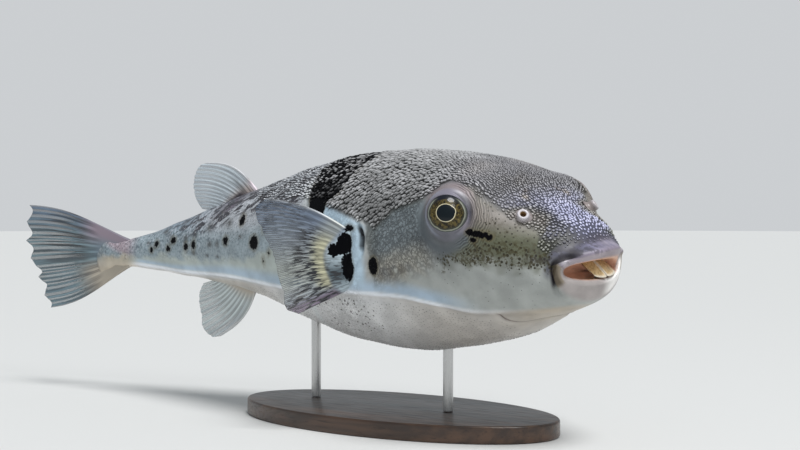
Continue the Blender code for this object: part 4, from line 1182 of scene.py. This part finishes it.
for side, word in SIDES:
    middle, look, ahead, upward = ORBITS[side]
    bearings = np.linspace(0, 2 * math.pi, 96, endpoint=False)
    rings, radii, heights = [], [], []
    for polar in np.concatenate([np.linspace(0.01, 1.35, 64), np.linspace(1.4, math.pi - 0.02, 30)]):
        reach = EYE_RADIUS * math.sin(polar)
        depth = EYE_RADIUS * EYE_FLATNESS * math.cos(polar) - EYE_SUNK
        x, y = reach * np.cos(bearings), reach * np.sin(bearings)
        rings.append(middle + x[:, None] * ahead + y[:, None] * upward + depth * look)
        point = 1 + 0.08 * hump(bearings, 0.3, 0.35) * fall(reach, 0.014, 0.020)
        oval = reach * np.hypot(np.cos(bearings) / IRIS_LENGTH, np.sin(bearings) / IRIS_HEIGHT)
        radii.append(np.where(depth > -EYE_SUNK, oval / EYE_OPENING / point, UNPAINTED))
        heights.append(np.sin(bearings) * ease(reach, 0.012, 0.020))
    points, faces = closed_rings(rings)
    eye = make_mesh_object(f"eye_{word}_glass", place(points), faces, eye_glass,
                           radius=np.concatenate(radii), upper=np.concatenate(heights),
                           place=points * STANDARD_LENGTH)
    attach(eye, "root")
    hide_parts(f"eye_{word}")

# ================================================================ Beak
# Four bony plates behind the lips, two above and two below, that meet at a seam in the middle.
# They are golden-brown enamel, paler and a little thinner at the biting edge.

BEAK_SPREAD = {1: math.radians(24), -1: math.radians(44)}
BEAK_LEAN = -0.009
BEAK_HALF_WIDTH = 0.0395
BEAK_ROOT = 0.0125

enamel, tree, shader = new_material("beak_enamel", roughness=0.30, coat_weight=0.35, coat_roughness=0.12)
where = read_layer(tree, "place", "Vector")
ridges = noise_at(tree, where, 0.0011, 3.0, (1.0, 1.0, 0.25))
colour = mixed(tree, ramped(tree, ridges, 0.35, 0.65), (0.42, 0.27, 0.11, 1), (0.62, 0.45, 0.22, 1))
colour = mixed(tree, read_layer(tree, "edge"), colour, (0.80, 0.74, 0.62, 1))
tree.links.new(colour, shader.inputs["Base Color"])
add_bump(tree, shader, ridges, 0.5, 0.0003)

# Each row's sign, reach from root to edge, setting back from the lips, and slope.
for sign, row, reach, setting, slope in ((1, "upper", 0.0250, 0.0005, 0.019),
                                         (-1, "lower", 0.0015, 0.0180, 0.0)):
    for side, word in SIDES:
        rings, edges = [], []
        for share in np.linspace(0.03, 1, 40):
            across = side * math.sin(share * BEAK_SPREAD[side])
            wall = BEAK_HALF_WIDTH * across
            back = setting + MOUTH_SETBACK * across**2
            root = MOUTH_LEVEL + sign * BEAK_ROOT * math.cos(share * BEAK_SPREAD[side])
            root += mouth_shift(setting, wall)
            tip = root - sign * reach * (1 - 0.22 * share**2.5) * (1 - 0.10 * math.exp(-share / 0.05))
            front = np.linspace(0, 1, 14)
            bulge = 0.0016 * np.sin(np.pi * front)
            ring = [(back + slope * (1 - f) - b + 0.0010, wall, root + (tip - root) * f)
                    for f, b in zip(front, bulge)]
            ring += [(back + 0.0022, wall * 0.985, tip), (back + 0.0036, wall * 0.97, tip + sign * 0.0018)]
            ring += [(back + slope * f + 0.0050, wall * 0.95, tip + (root - tip) * f)
                     for f in (0.3, 0.6, 1.0)]
            rings.append([(b, w + BEAK_LEAN * (root - z) / 0.025 * (sign > 0), z) for b, w, z in ring])
            seam = 0.85 * fall(share, 0.04, 0.16)
            edges.append(np.maximum(seam, np.concatenate([ease(front, 0.80, 1.0), [1, 0.6, 0.2, 0, 0]])))
        points, faces = closed_rings(rings)
        plate = make_mesh_object(f"beak_{row}_{word}", place(points), faces, enamel,
                                 edge=np.concatenate(edges), place=points * STANDARD_LENGTH)
        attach(plate, "root")
        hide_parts(f"tooth_{row}_{word}")

# ================================================================ Nostrils
# A short open tube of pale skin on each side of the snout, with a brown bore.
# Each stands on the snout's slope, its foot flared into the skin.

NOSTRIL = (0.078, 0.064)
NOSTRIL_HEIGHT = 0.010
NOSTRIL_RADIUS = 0.0075
NOSTRIL_BORE = 0.0036
NOSTRIL_LEAN = 0.45
NOSTRIL_STEPS = 48

nostril_skin, tree, shader = new_material("nostril_skin", roughness=0.38, coat_weight=0.2,
                                          coat_roughness=0.2)
rim = ramped(tree, read_layer(tree, "depth"), -0.2, 0.7)
rim = mixed(tree, rim, (0.24, 0.20, 0.19, 1), (0.58, 0.55, 0.58, 1))
rim = mixed(tree, ramped(tree, read_layer(tree, "bore"), 0.2, 0.9), rim, (0.30, 0.19, 0.085, 1))
spotty = noise_at(tree, read_layer(tree, "place", "Vector"), 0.0012, 2.0)
rim = mixed(tree, ramped(tree, spotty, 0.62, 0.72, 0.0, 0.6), rim, (0.16, 0.10, 0.09, 1))
tree.links.new(rim, shader.inputs["Base Color"])

for side, word in SIDES:
    turns = np.radians(np.linspace(5, 85, 161))
    turns = turns if side > 0 else math.pi - turns
    spots = skin_point(np.full_like(turns, NOSTRIL[0]), turns, 0.0)
    nearest = int(np.argmin(np.abs(np.abs(spots[:, 1]) - NOSTRIL[1])))
    foot = spots[nearest]
    axis = facing(np.array([NOSTRIL[0]]), turns[nearest:nearest + 1])[0]
    axis = axis + NOSTRIL_LEAN * np.array([-1, side, 0])
    axis /= np.linalg.norm(axis)
    first = np.cross(axis, (0, 0, 1.0))
    first /= np.linalg.norm(first)
    second = np.cross(axis, first)
    wide, bore = NOSTRIL_RADIUS, NOSTRIL_BORE
    profile = [(bore * 0.6, -0.1), (bore, 0.1), (bore, 0.6), (bore * 1.05, 0.85), (bore * 1.30, 0.97),
               (wide * 0.80, 1.0), (wide * 0.98, 0.94), (wide * 1.06, 0.80), (wide * 1.08, 0.55),
               (wide * 1.12, 0.30), (wide * 1.28, 0.08), (wide * 1.6, -0.10), (wide * 1.8, -0.30)]
    around = np.linspace(0, 2 * math.pi, NOSTRIL_STEPS, endpoint=False)[:, None]
    spokes = np.cos(around) * first + np.sin(around) * second
    oval = 1 + 0.05 * np.cos(2 * around + 1)
    points, faces = closed_rings([foot + r * oval * spokes + z * NOSTRIL_HEIGHT * axis for r, z in profile])
    # Painted shade: the left tube is painted darker all over.
    left_tube_shade = 0.6 if side < 0 else 0.0
    tube = make_mesh_object(f"nostril_{word}_tube", place(points), faces, nostril_skin,
                            depth=np.repeat([z - left_tube_shade for _, z in profile], NOSTRIL_STEPS),
                            bore=np.repeat([1, 1, 1, 0.8, 0.3] + [0] * 8, NOSTRIL_STEPS),
                            place=points * STANDARD_LENGTH)
    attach(tube, "root")
    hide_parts(f"nostril_{word}")

# ================================================================ Fins
# Thin fans of soft rays joined by clear skin: the dorsal and anal fins over the tail stalk, the
# tail fin, and a pectoral fin on each flank. Each ray is a raised rib, which forks towards the
# edge on the tail and pectoral fins.

RAY_SHARES = [0, 0.12, 0.25, 0.5, 0.75, 1]
dorsal_reach = smooth_curve(RAY_SHARES, [0.1425, 0.148, 0.142, 0.122, 0.093, 0.055])
anal_reach = smooth_curve(RAY_SHARES, [0.1205, 0.131, 0.128, 0.102, 0.076, 0.040])
pectoral_reach = smooth_curve([0, 0.09, 0.25, 0.5, 0.75, 0.91, 1],
                              [0.138, 0.146, 0.124, 0.099, 0.096, 0.102, 0.088])
PECTORAL_ROOT = (0.370, 0.116)
PECTORAL_SPREAD = math.radians(32)
FIN_THICKNESS = 0.0009
COLUMNS_PER_RAY = 14
FIN_ROWS = 84


def median_fin(first_root, last_root, angles, longest, bow, lean):
    """A fin in the middle plane. Roots are (back, up); rays turn from the first angle to the last."""

    def fin(u, v):
        angle = np.radians(angles[0] + (angles[1] - angles[0]) * u)
        reach = longest(u) * v
        bulge = bow * np.sin(math.pi * v) * (1 - u)
        back = first_root[0] + (last_root[0] - first_root[0]) * u
        back = back + reach * np.cos(angle) - bulge * np.sin(angle)
        up = first_root[1] + (last_root[1] - first_root[1]) * u
        up = up + reach * np.sin(angle) + bulge * np.cos(angle)
        return np.stack([back, lean * v**2, up], -1)

    return fin


def caudal_fin(u, v):
    """The tail fin: u runs from its upper ray to its lower, and v from the root to the edge."""
    angle = np.radians(14.75 - 37.65 * u)
    reach = 0.2165 + 0.035 * (1 - u) ** 3
    bow = 0.0125 * np.sin(math.pi * v * np.sqrt(np.abs(v))) * (1 - 2 * u)
    back = 0.960 + 0.012 * np.sin(math.pi * u) + reach * v * np.cos(angle) - bow * np.sin(angle)
    up = -0.060 - 0.040 * u + reach * v * np.sin(angle) + bow * np.cos(angle)
    return np.stack([back, 0.010 * v**2 * np.sin(2 * math.pi * u), up], -1)


def pectoral_fin(side):
    """The fin of one flank, cupped a little and spread away from it."""

    def fin(u, v):
        angle = np.radians(21 - 46 * u)
        reach = pectoral_reach(u) * v
        run = 0.004 + 0.020 * np.sin(math.pi * u) + reach * np.cos(angle)
        up = -0.036 - 0.080 * u + reach * np.sin(angle) + 0.010 * (1 - u) * np.sin(math.pi * v)
        cup = 0.020 * np.sin(math.pi * u) * v**1.5 - 0.016 * v**2
        back = PECTORAL_ROOT[0] + run * math.cos(PECTORAL_SPREAD) + cup * math.sin(PECTORAL_SPREAD)
        out = PECTORAL_ROOT[1] + run * math.sin(PECTORAL_SPREAD) - cup * math.cos(PECTORAL_SPREAD)
        return np.stack([back, side * out, up], -1)

    return fin


def ray_height(phase, v, forks):
    """The ribs' height across a fin: one rib per ray, forking into two and perhaps four towards the edge."""
    one = np.abs(np.cos(math.pi * phase)) ** 3
    two = np.abs(np.cos(2 * math.pi * (phase + 0.25))) ** 3
    four = np.abs(np.cos(4 * math.pi * (phase + 0.125))) ** 3
    ribs = one + (two - one) * ease(v, 0.45, 0.60) * (forks > 0)
    return ribs + (four - ribs) * ease(v, 0.74, 0.88) * (forks > 1)


fin_paint, tree, shader = new_material("fin_skin", roughness=0.40, specular_ior_level=0.05,
                                       coat_roughness=0.38)
fan = read_layer(tree, "fan", "Vector")
ribs, meat = read_layer(tree, "ribs"), read_layer(tree, "meat")
thin_part = sums(tree, "SUBTRACT", 1.0, meat, clamp=True)
streak = noise_at(tree, fan, 1.0, 3.0, (2.8, 0.55, 1.0))
hair = noise_at(tree, fan, 1.0, 2.0, (5.0, 0.20, 1.0))
tone = read_layer(tree, "tone", "Color")
lit = ramped(tree, ribs, 0.15, 0.75, 0.84, 1.30)
colour = mixed(tree, thin_part, tone, mixed(tree, 1.0, tone, lit, "MULTIPLY"))
colour = mixed(tree, times(tree, ramped(tree, hair, 0.40, 0.62, 0.0, 0.55), thin_part), colour,
               mixed(tree, 1.0, colour, (0.45, 0.45, 0.50, 1), "MULTIPLY"))
dark_streaks = times(tree, ramped(tree, streak, 0.47, 0.55), read_layer(tree, "dashes"))
colour = mixed(tree, dark_streaks, colour, (0.022, 0.022, 0.026, 1))
fine = noise_at(tree, read_layer(tree, "place", "Vector"), 0.0016, 3.0)
edge = sums(tree, "ADD", read_layer(tree, "marks"), ramped(tree, fine, 0.3, 0.7, -0.7, 0.7))
black = times(tree, ramped(tree, edge, -0.15, 0.45), ramped(tree, meat, 0.3, 0.7))
colour = mixed(tree, black, colour, (0.002, 0.002, 0.003, 1))
tree.links.new(ramped(tree, black, 0.2, 0.8, 0.85, 0.0), shader.inputs["Coat Weight"])
tree.links.new(colour, shader.inputs["Base Color"])
sheer = times(tree, read_layer(tree, "clear"), ramped(tree, ribs, 0.1, 0.7, 0.55, 0.12))
tree.links.new(sums(tree, "SUBTRACT", 1.0, times(tree, sheer, thin_part)), shader.inputs["Alpha"])


def make_fin(name, node, shape, rays, colours, dashes, roots, flesh, seed, run=100, ragged=0.0, forks=2,
             uneven=0.0):
    """Builds one fin: roots is (first v, thickness there), flesh(u) is how far the fleshy base reaches."""
    first, root_thickness = roots
    u = np.linspace(0, 1, rays * COLUMNS_PER_RAY + 1)
    v = first + (1 - first) * np.linspace(0, 1, FIN_ROWS)
    rng = np.random.default_rng(seed)
    phase = rays * (u + uneven * (0.022 * np.sin(17 * u + 1) + 0.010 * np.sin(41 * u)) * np.sin(math.pi * u))
    frayed = np.interp(phase, np.arange(2 * rays + 1) / 2, rng.uniform(0, 1, 2 * rays + 1))
    depths = np.interp(phase, np.arange(rays + 1), rng.uniform(0, 1, rays + 1) ** 1.5)
    nick = 0.008 * np.abs(np.sin(math.pi * phase)) + 0.016 * frayed**2
    nick += ragged * (0.80 * np.abs(np.sin(math.pi * phase / 2 + 0.8)) + 0.50 * depths)
    grid_u, grid_v = np.meshgrid(u, v, indexing="ij")
    margin = grid_v * (1 - nick[:, None] * ease(grid_v, 0.5, 1.0))
    inwards = shape(grid_u, np.full_like(grid_u, 0.02)) - shape(grid_u, np.zeros_like(grid_u))
    middle = shape(grid_u, np.maximum(margin, 0)) + np.minimum(margin, 0)[..., None] * inwards / 0.02
    along, across = np.gradient(middle, axis=1), np.gradient(middle, axis=0)
    normal = np.cross(across, along)
    normal /= np.maximum(np.linalg.norm(normal, axis=-1, keepdims=True), 1e-12)
    ribs = ray_height(phase[:, None], grid_v, forks)
    soft = flesh(grid_u)
    meat = fall(grid_v, soft - 0.05, soft + 0.06)
    thin = FIN_THICKNESS + (root_thickness - FIN_THICKNESS) * np.clip(1 - grid_v, 0, 1) ** 3
    thin = thin * (0.55 + 0.45 * meat) + 0.0007 * ribs * (1 - meat) * (1 - 0.7 * grid_v)
    border = np.minimum(ease(grid_u, -0.001, 0.012), ease(1 - grid_u, -0.001, 0.012))
    thin *= (0.25 + 0.75 * border) * (1 - 0.6 * ease(grid_v, 0.97, 1.0))
    swell = 0.0010 * ripple(middle, 0.05, seed + 1)[..., None] * ease(grid_v, 0.2, 0.8)[..., None] * normal
    front = middle + swell + thin[..., None] / 2 * normal
    rear = middle + swell - thin[..., None] / 2 * normal
    points, faces = closed_rings(np.concatenate([front, rear[:, ::-1]], axis=1))
    flat_u, flat_v, ribs, meat = (np.concatenate([a, a[:, ::-1]], axis=1).ravel()
                                  for a in (grid_u, grid_v, ribs, meat))
    length = np.linalg.norm(shape(u, np.ones_like(u)) - shape(u, np.zeros_like(u)), axis=-1)
    fan = np.stack([np.interp(flat_u, u, phase), flat_v * np.interp(flat_u, u, length) * run,
                    np.full(len(flat_u), seed)], -1)
    fin = make_mesh_object(name, place(points), faces, fin_paint, tone=colours(flat_u, flat_v), fan=fan,
                           ribs=ribs, meat=meat, dashes=dashes(flat_u, flat_v),
                           clear=ease(flat_v, 0.25, 0.75), **marking_layers(points))
    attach(fin, "root")
    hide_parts(node)


def solid_colour(u, colour):
    return np.broadcast_to(np.array(colour, float), (len(u), 3)).copy()


def dorsal_colours(u, v):
    tone = mix(solid_colour(u, (0.56, 0.62, 0.66)), (0.66, 0.66, 0.68), fall(u, 0.0, 0.06))
    tone = mix(tone, (0.44, 0.34, 0.30), fall(v, 0.10, 0.30) * 0.8)
    tone = mix(tone, (0.035, 0.026, 0.035), fall(v, 0.12, 0.20) * ease(u, 0.15, 0.35))
    return mix(tone, (0.80, 0.70, 0.76), fall(u, 0.02, 0.10) * fall(v, 0.12, 0.26))


def anal_colours(u, v):
    tone = mix(solid_colour(u, (0.60, 0.66, 0.66)), (0.46, 0.39, 0.31), fall(v, 0.05, 0.30))
    tone = mix(tone, (0.50, 0.50, 0.55), fall(u, 0.0, 0.15) * ease(v, 0.3, 0.6) * 0.5)
    return mix(tone, (0.68, 0.68, 0.66), fall(u, 0.0, 0.05) * 0.6)


def caudal_colours(u, v):
    tone = mix(solid_colour(u, (0.155, 0.225, 0.255)), (0.11, 0.155, 0.21), fall(u, 0.0, 0.25))
    tone = mix(tone, (0.44, 0.38, 0.30), ease(u, 0.52, 0.74) * fall(v, 0.38, 0.66) * 0.9)
    tone = mix(tone, (0.28, 0.225, 0.27), fall(u, 0.10, 0.42) * fall(v, 0.34, 0.56))
    tone = mix(tone, (0.17, 0.215, 0.265), hump(u, 0.42, 0.16) * fall(v, 0.25, 0.42))
    return mix(tone, (0.13, 0.13, 0.16), fall(u, 0.0, 0.03) * 0.6)


def caudal_streaks(u, v):
    return (0.50 + 0.45 * hump(u, 0.28, 0.22)) * ease(v, 0.36, 0.50) * (1 - 0.3 * ease(v, 0.7, 1.0))


def pectoral_flesh(u):
    """How far out the fleshy base of the fin reaches along each ray."""
    return 0.08 + 0.15 * ease(u, 0.05, 0.50)


def pectoral_colours(u, v):
    flesh = pectoral_flesh(u)
    tone = mix(solid_colour(u, (0.24, 0.27, 0.31)), (0.17, 0.215, 0.29), fall(u, 0.05, 0.35))
    tone = mix(tone, (0.34, 0.36, 0.33), hump(u, 0.65, 0.22))
    tone = mix(tone, (0.16, 0.13, 0.17), ease(u, 0.88, 0.96))
    tone = mix(tone, (0.58, 0.60, 0.62), fall(u, 0.0, 0.03) * 0.8)
    cream = ease(v, flesh - 0.02, flesh + 0.05) * fall(v, flesh + 0.10, flesh + 0.30)
    cream *= fall(u, 0.82, 0.92)
    tone = mix(tone, (0.53, 0.51, 0.34), cream * (0.30 + 0.62 * ease(u, 0.10, 0.35)))
    tone = mix(tone, (0.46, 0.55, 0.60), fall(v, flesh - 0.08, flesh + 0.03))
    return mix(tone, (0.05, 0.08, 0.10), hump(u, 0.74, 0.17) * fall(v, flesh - 0.04, flesh + 0.04) * 0.95)


def pectoral_dashes(u, v):
    flesh = pectoral_flesh(u)
    gaps = hump(v, flesh + 0.26, 0.13) * 0.95 * ease(u, 0.05, 0.25)
    dashes = hump(v, 0.62, 0.24) * ease(u, 0.28, 0.50) + 0.75 * ease(u, 0.80, 0.92)
    faint = 0.55 * fall(u, 0.1, 0.5) * ease(v, 0.3, 0.6)
    hatched = 0.95 * hump(u, 0.72, 0.24) * fall(v, flesh - 0.02, flesh + 0.06)
    return np.clip((gaps + dashes + faint) * ease(v, flesh, flesh + 0.05) + hatched, 0, 1)


dorsal = median_fin((0.668, 0.022), (0.755, -0.008), (22, 5), dorsal_reach, 0.018, -0.008)
anal = median_fin((0.674, -0.126), (0.756, -0.116), (-48, -18), anal_reach, -0.0145, 0.006)
make_fin("dorsal_fan", "dorsal_fin", dorsal, 13, dorsal_colours, lambda u, v: 0.55 * fall(v, 0.2, 0.5),
         (-0.06, 0.0070), lambda u: 0.14 + 0 * u, 41, run=25, forks=0)
make_fin("anal_fan", "anal_fin", anal, 12, anal_colours, lambda u, v: 0.12 * ease(v, 0.3, 0.8),
         (-0.06, 0.0070), lambda u: 0.16 + 0 * u, 43, run=25, forks=0)
make_fin("caudal_fan", "caudal_fin", caudal_fin, 11, caudal_colours, caudal_streaks, (-0.05, 0.0150),
         lambda u: 0.30 + 0.08 * fall(u, 0.0, 0.3) + 0.08 * ease(u, 0.7, 1.0), 45, run=9, ragged=0.07,
         forks=1, uneven=1.0)
for side, word in SIDES:
    make_fin(f"pectoral_fan_{word}", f"pectoral_fin_{word}", pectoral_fin(side), 16, pectoral_colours,
             pectoral_dashes, (-0.15, 0.0190), pectoral_flesh, 47)

# ================================================================ Stand
# An oval plate of dark stained wood with eased edges, lying flat on the table.
# Two brushed steel rods rise from it and run a short way into the belly.

BASE_LENGTH = 0.220
BASE_WIDTH = 0.110
BASE_THICKNESS = 0.010
ROD_RADIUS = 0.003
ROD_CHAMFER = 0.0003
ROD_SOCKET_DEPTH = 0.014
EDGE_RADIUS = 0.0015
EDGE_SHARE = 0.985
ROD_PLACES = (("front", 0.29), ("rear", 0.55))


def lathe(name, profile, steps, material, middle=(0, 0), stretch=(1, 1)):
    """A turned solid from its profile of (radius, height), scaled to an oval."""
    around = np.linspace(0, 2 * math.pi, steps, endpoint=False)
    points, faces = closed_rings([[(middle[0] + r * stretch[0] * math.cos(a),
                                    middle[1] + r * stretch[1] * math.sin(a), z) for a in around]
                                  for r, z in profile])
    made = make_mesh_object(name, points, faces, material)
    made.data.set_sharp_from_angle(angle=math.radians(40))
    return made


wood, tree, shader = new_material("stand_wood", roughness=0.38, coat_weight=0.3, coat_roughness=0.15)
where = add_node(tree, "ShaderNodeTexCoord").outputs["Object"]
grain = noise_at(tree, where, 0.006, 5.0, (0.06, 1.0, 1.0))
pores = noise_at(tree, where, 0.0011, 2.0, (0.05, 1.0, 1.0))
colour = mixed(tree, ramped(tree, grain, 0.30, 0.70), (0.028, 0.014, 0.008, 1), (0.085, 0.042, 0.022, 1))
colour = mixed(tree, ramped(tree, pores, 0.60, 0.72, 0.0, 0.6), colour, (0.012, 0.006, 0.004, 1))
tree.links.new(colour, shader.inputs["Base Color"])
tree.links.new(ramped(tree, pores, 0.4, 0.7, 0.34, 0.52), shader.inputs["Roughness"])
add_bump(tree, shader, pores, 0.25, 0.0002)

quarter = np.linspace(0, math.pi / 2, 7)
rim = [(EDGE_SHARE + (1 - EDGE_SHARE) * math.sin(a), EDGE_RADIUS - EDGE_RADIUS * math.cos(a))
       for a in quarter]
rim += [(EDGE_SHARE + (1 - EDGE_SHARE) * math.cos(a),
         BASE_THICKNESS - EDGE_RADIUS + EDGE_RADIUS * math.sin(a))
        for a in quarter]
base = lathe("stand_base_plate", rim, 160, wood, stretch=(BASE_LENGTH / 2, BASE_WIDTH / 2))
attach(base, "root")
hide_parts("stand_base")

steel, tree, shader = new_material("stand_steel", roughness=0.30, metallic=1.0)
where = add_node(tree, "ShaderNodeTexCoord").outputs["Object"]
brushed = noise_at(tree, where, 0.0006, 3.0, (1.0, 1.0, 0.04))
colour = mixed(tree, ramped(tree, brushed, 0.3, 0.7), (0.50, 0.50, 0.50, 1), (0.64, 0.64, 0.63, 1))
tree.links.new(colour, shader.inputs["Base Color"])
tree.links.new(ramped(tree, brushed, 0.3, 0.7, 0.24, 0.38), shader.inputs["Roughness"])

for word, along in ROD_PLACES:
    foot = place((along, 0, 0))
    belly = place(skin_point(np.array(along), -math.pi / 2, 0.0))[2]
    top = belly + ROD_SOCKET_DEPTH
    profile = [(ROD_RADIUS - ROD_CHAMFER, BASE_THICKNESS + ROD_CHAMFER),
               (ROD_RADIUS, BASE_THICKNESS + 2 * ROD_CHAMFER),
               (ROD_RADIUS, top - ROD_CHAMFER), (ROD_RADIUS - ROD_CHAMFER, top)]
    rod = lathe(f"stand_rod_{word}_steel", profile, 48, steel, middle=foot[:2])
    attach(rod, "root")
    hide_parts(f"stand_rod_{word}")

# ================================================================ Studio
# A wide pale table top under soft light from above and from the viewer's side.
# The camera stands off the fish's front right, at the height of its eye.

floor_paint = new_material("studio_floor", roughness=0.65, base_color=(0.66, 0.66, 0.65, 1))[0]
disc = bmesh.new()
bmesh.ops.create_circle(disc, cap_ends=True, segments=96, radius=7.0)
floor_mesh = bpy.data.meshes.new("studio_floor")
disc.to_mesh(floor_mesh)
disc.free()
floor = bpy.data.objects.new("studio_floor", floor_mesh)
floor_mesh.materials.append(floor_paint)
bpy.context.scene.collection.objects.link(floor)

world = bpy.data.worlds.new("studio")
world.use_nodes = True
tree = world.node_tree
around = tree.nodes["Background"]
around.inputs["Color"].default_value = (0.88, 0.95, 1.0, 1)
around.inputs["Strength"].default_value = 0.42
backdrop = add_node(tree, "ShaderNodeBackground", {"Color": (0.60, 0.62, 0.64, 1), "Strength": 1.0})
seen = add_node(tree, "ShaderNodeLightPath").outputs["Is Camera Ray"]
both = add_node(tree, "ShaderNodeMixShader", {0: seen, 1: around.outputs[0], 2: backdrop.outputs[0]})
tree.links.new(both.outputs[0], tree.nodes["World Output"].inputs["Surface"])
bpy.context.scene.world = world


VIEW = math.radians(37)
CAMERA_DISTANCE = 2.18 * STANDARD_LENGTH
CAMERA_SIDE = 0.036964
CAMERA_DIP = math.radians(0.7366)
ahead = Vector((-math.sin(VIEW), math.cos(VIEW), 0))
rightwards = Vector((math.cos(VIEW), math.sin(VIEW), 0))
heart = Vector((MID_BODY[0], MID_BODY[1], EYE_LEVEL))


def add_light(name, kind, nearer, beside, above, size, power):
    """A lamp aimed at the fish, from a place given in metres nearer the viewer, to the right and above."""
    light = bpy.data.lights.new(name, kind)
    light.energy = power
    if kind == "SUN":
        light.angle = size
    else:
        light.shape, light.size = "DISK", size
    lamp = bpy.data.objects.new(name, light)
    lamp.location = heart - ahead * nearer + rightwards * beside + Vector((0, 0, above))
    lamp.rotation_euler = (heart - lamp.location).to_track_quat("-Z", "Y").to_euler()
    bpy.context.scene.collection.objects.link(lamp)


add_light("light_above", "SUN", 0.35, 0.25, 1.0, math.radians(24), 2.7)
add_light("light_front", "AREA", 0.9, 0.5, 0.8, 0.35, 2.2)

camera = bpy.data.cameras.new("camera")
camera.lens, camera.sensor_width = 63, 36
camera.clip_start, camera.clip_end = 0.05, 50
viewer = bpy.data.objects.new("camera", camera)
viewer.location = heart - ahead * CAMERA_DISTANCE + rightwards * CAMERA_SIDE
aim = ahead * math.cos(CAMERA_DIP) - Vector((0, 0, math.sin(CAMERA_DIP)))
viewer.rotation_euler = aim.to_track_quat("-Z", "Y").to_euler()
bpy.context.scene.collection.objects.link(viewer)
bpy.context.scene.camera = viewer
bpy.context.scene.view_settings.view_transform = "Standard"

bpy.context.view_layer.update()
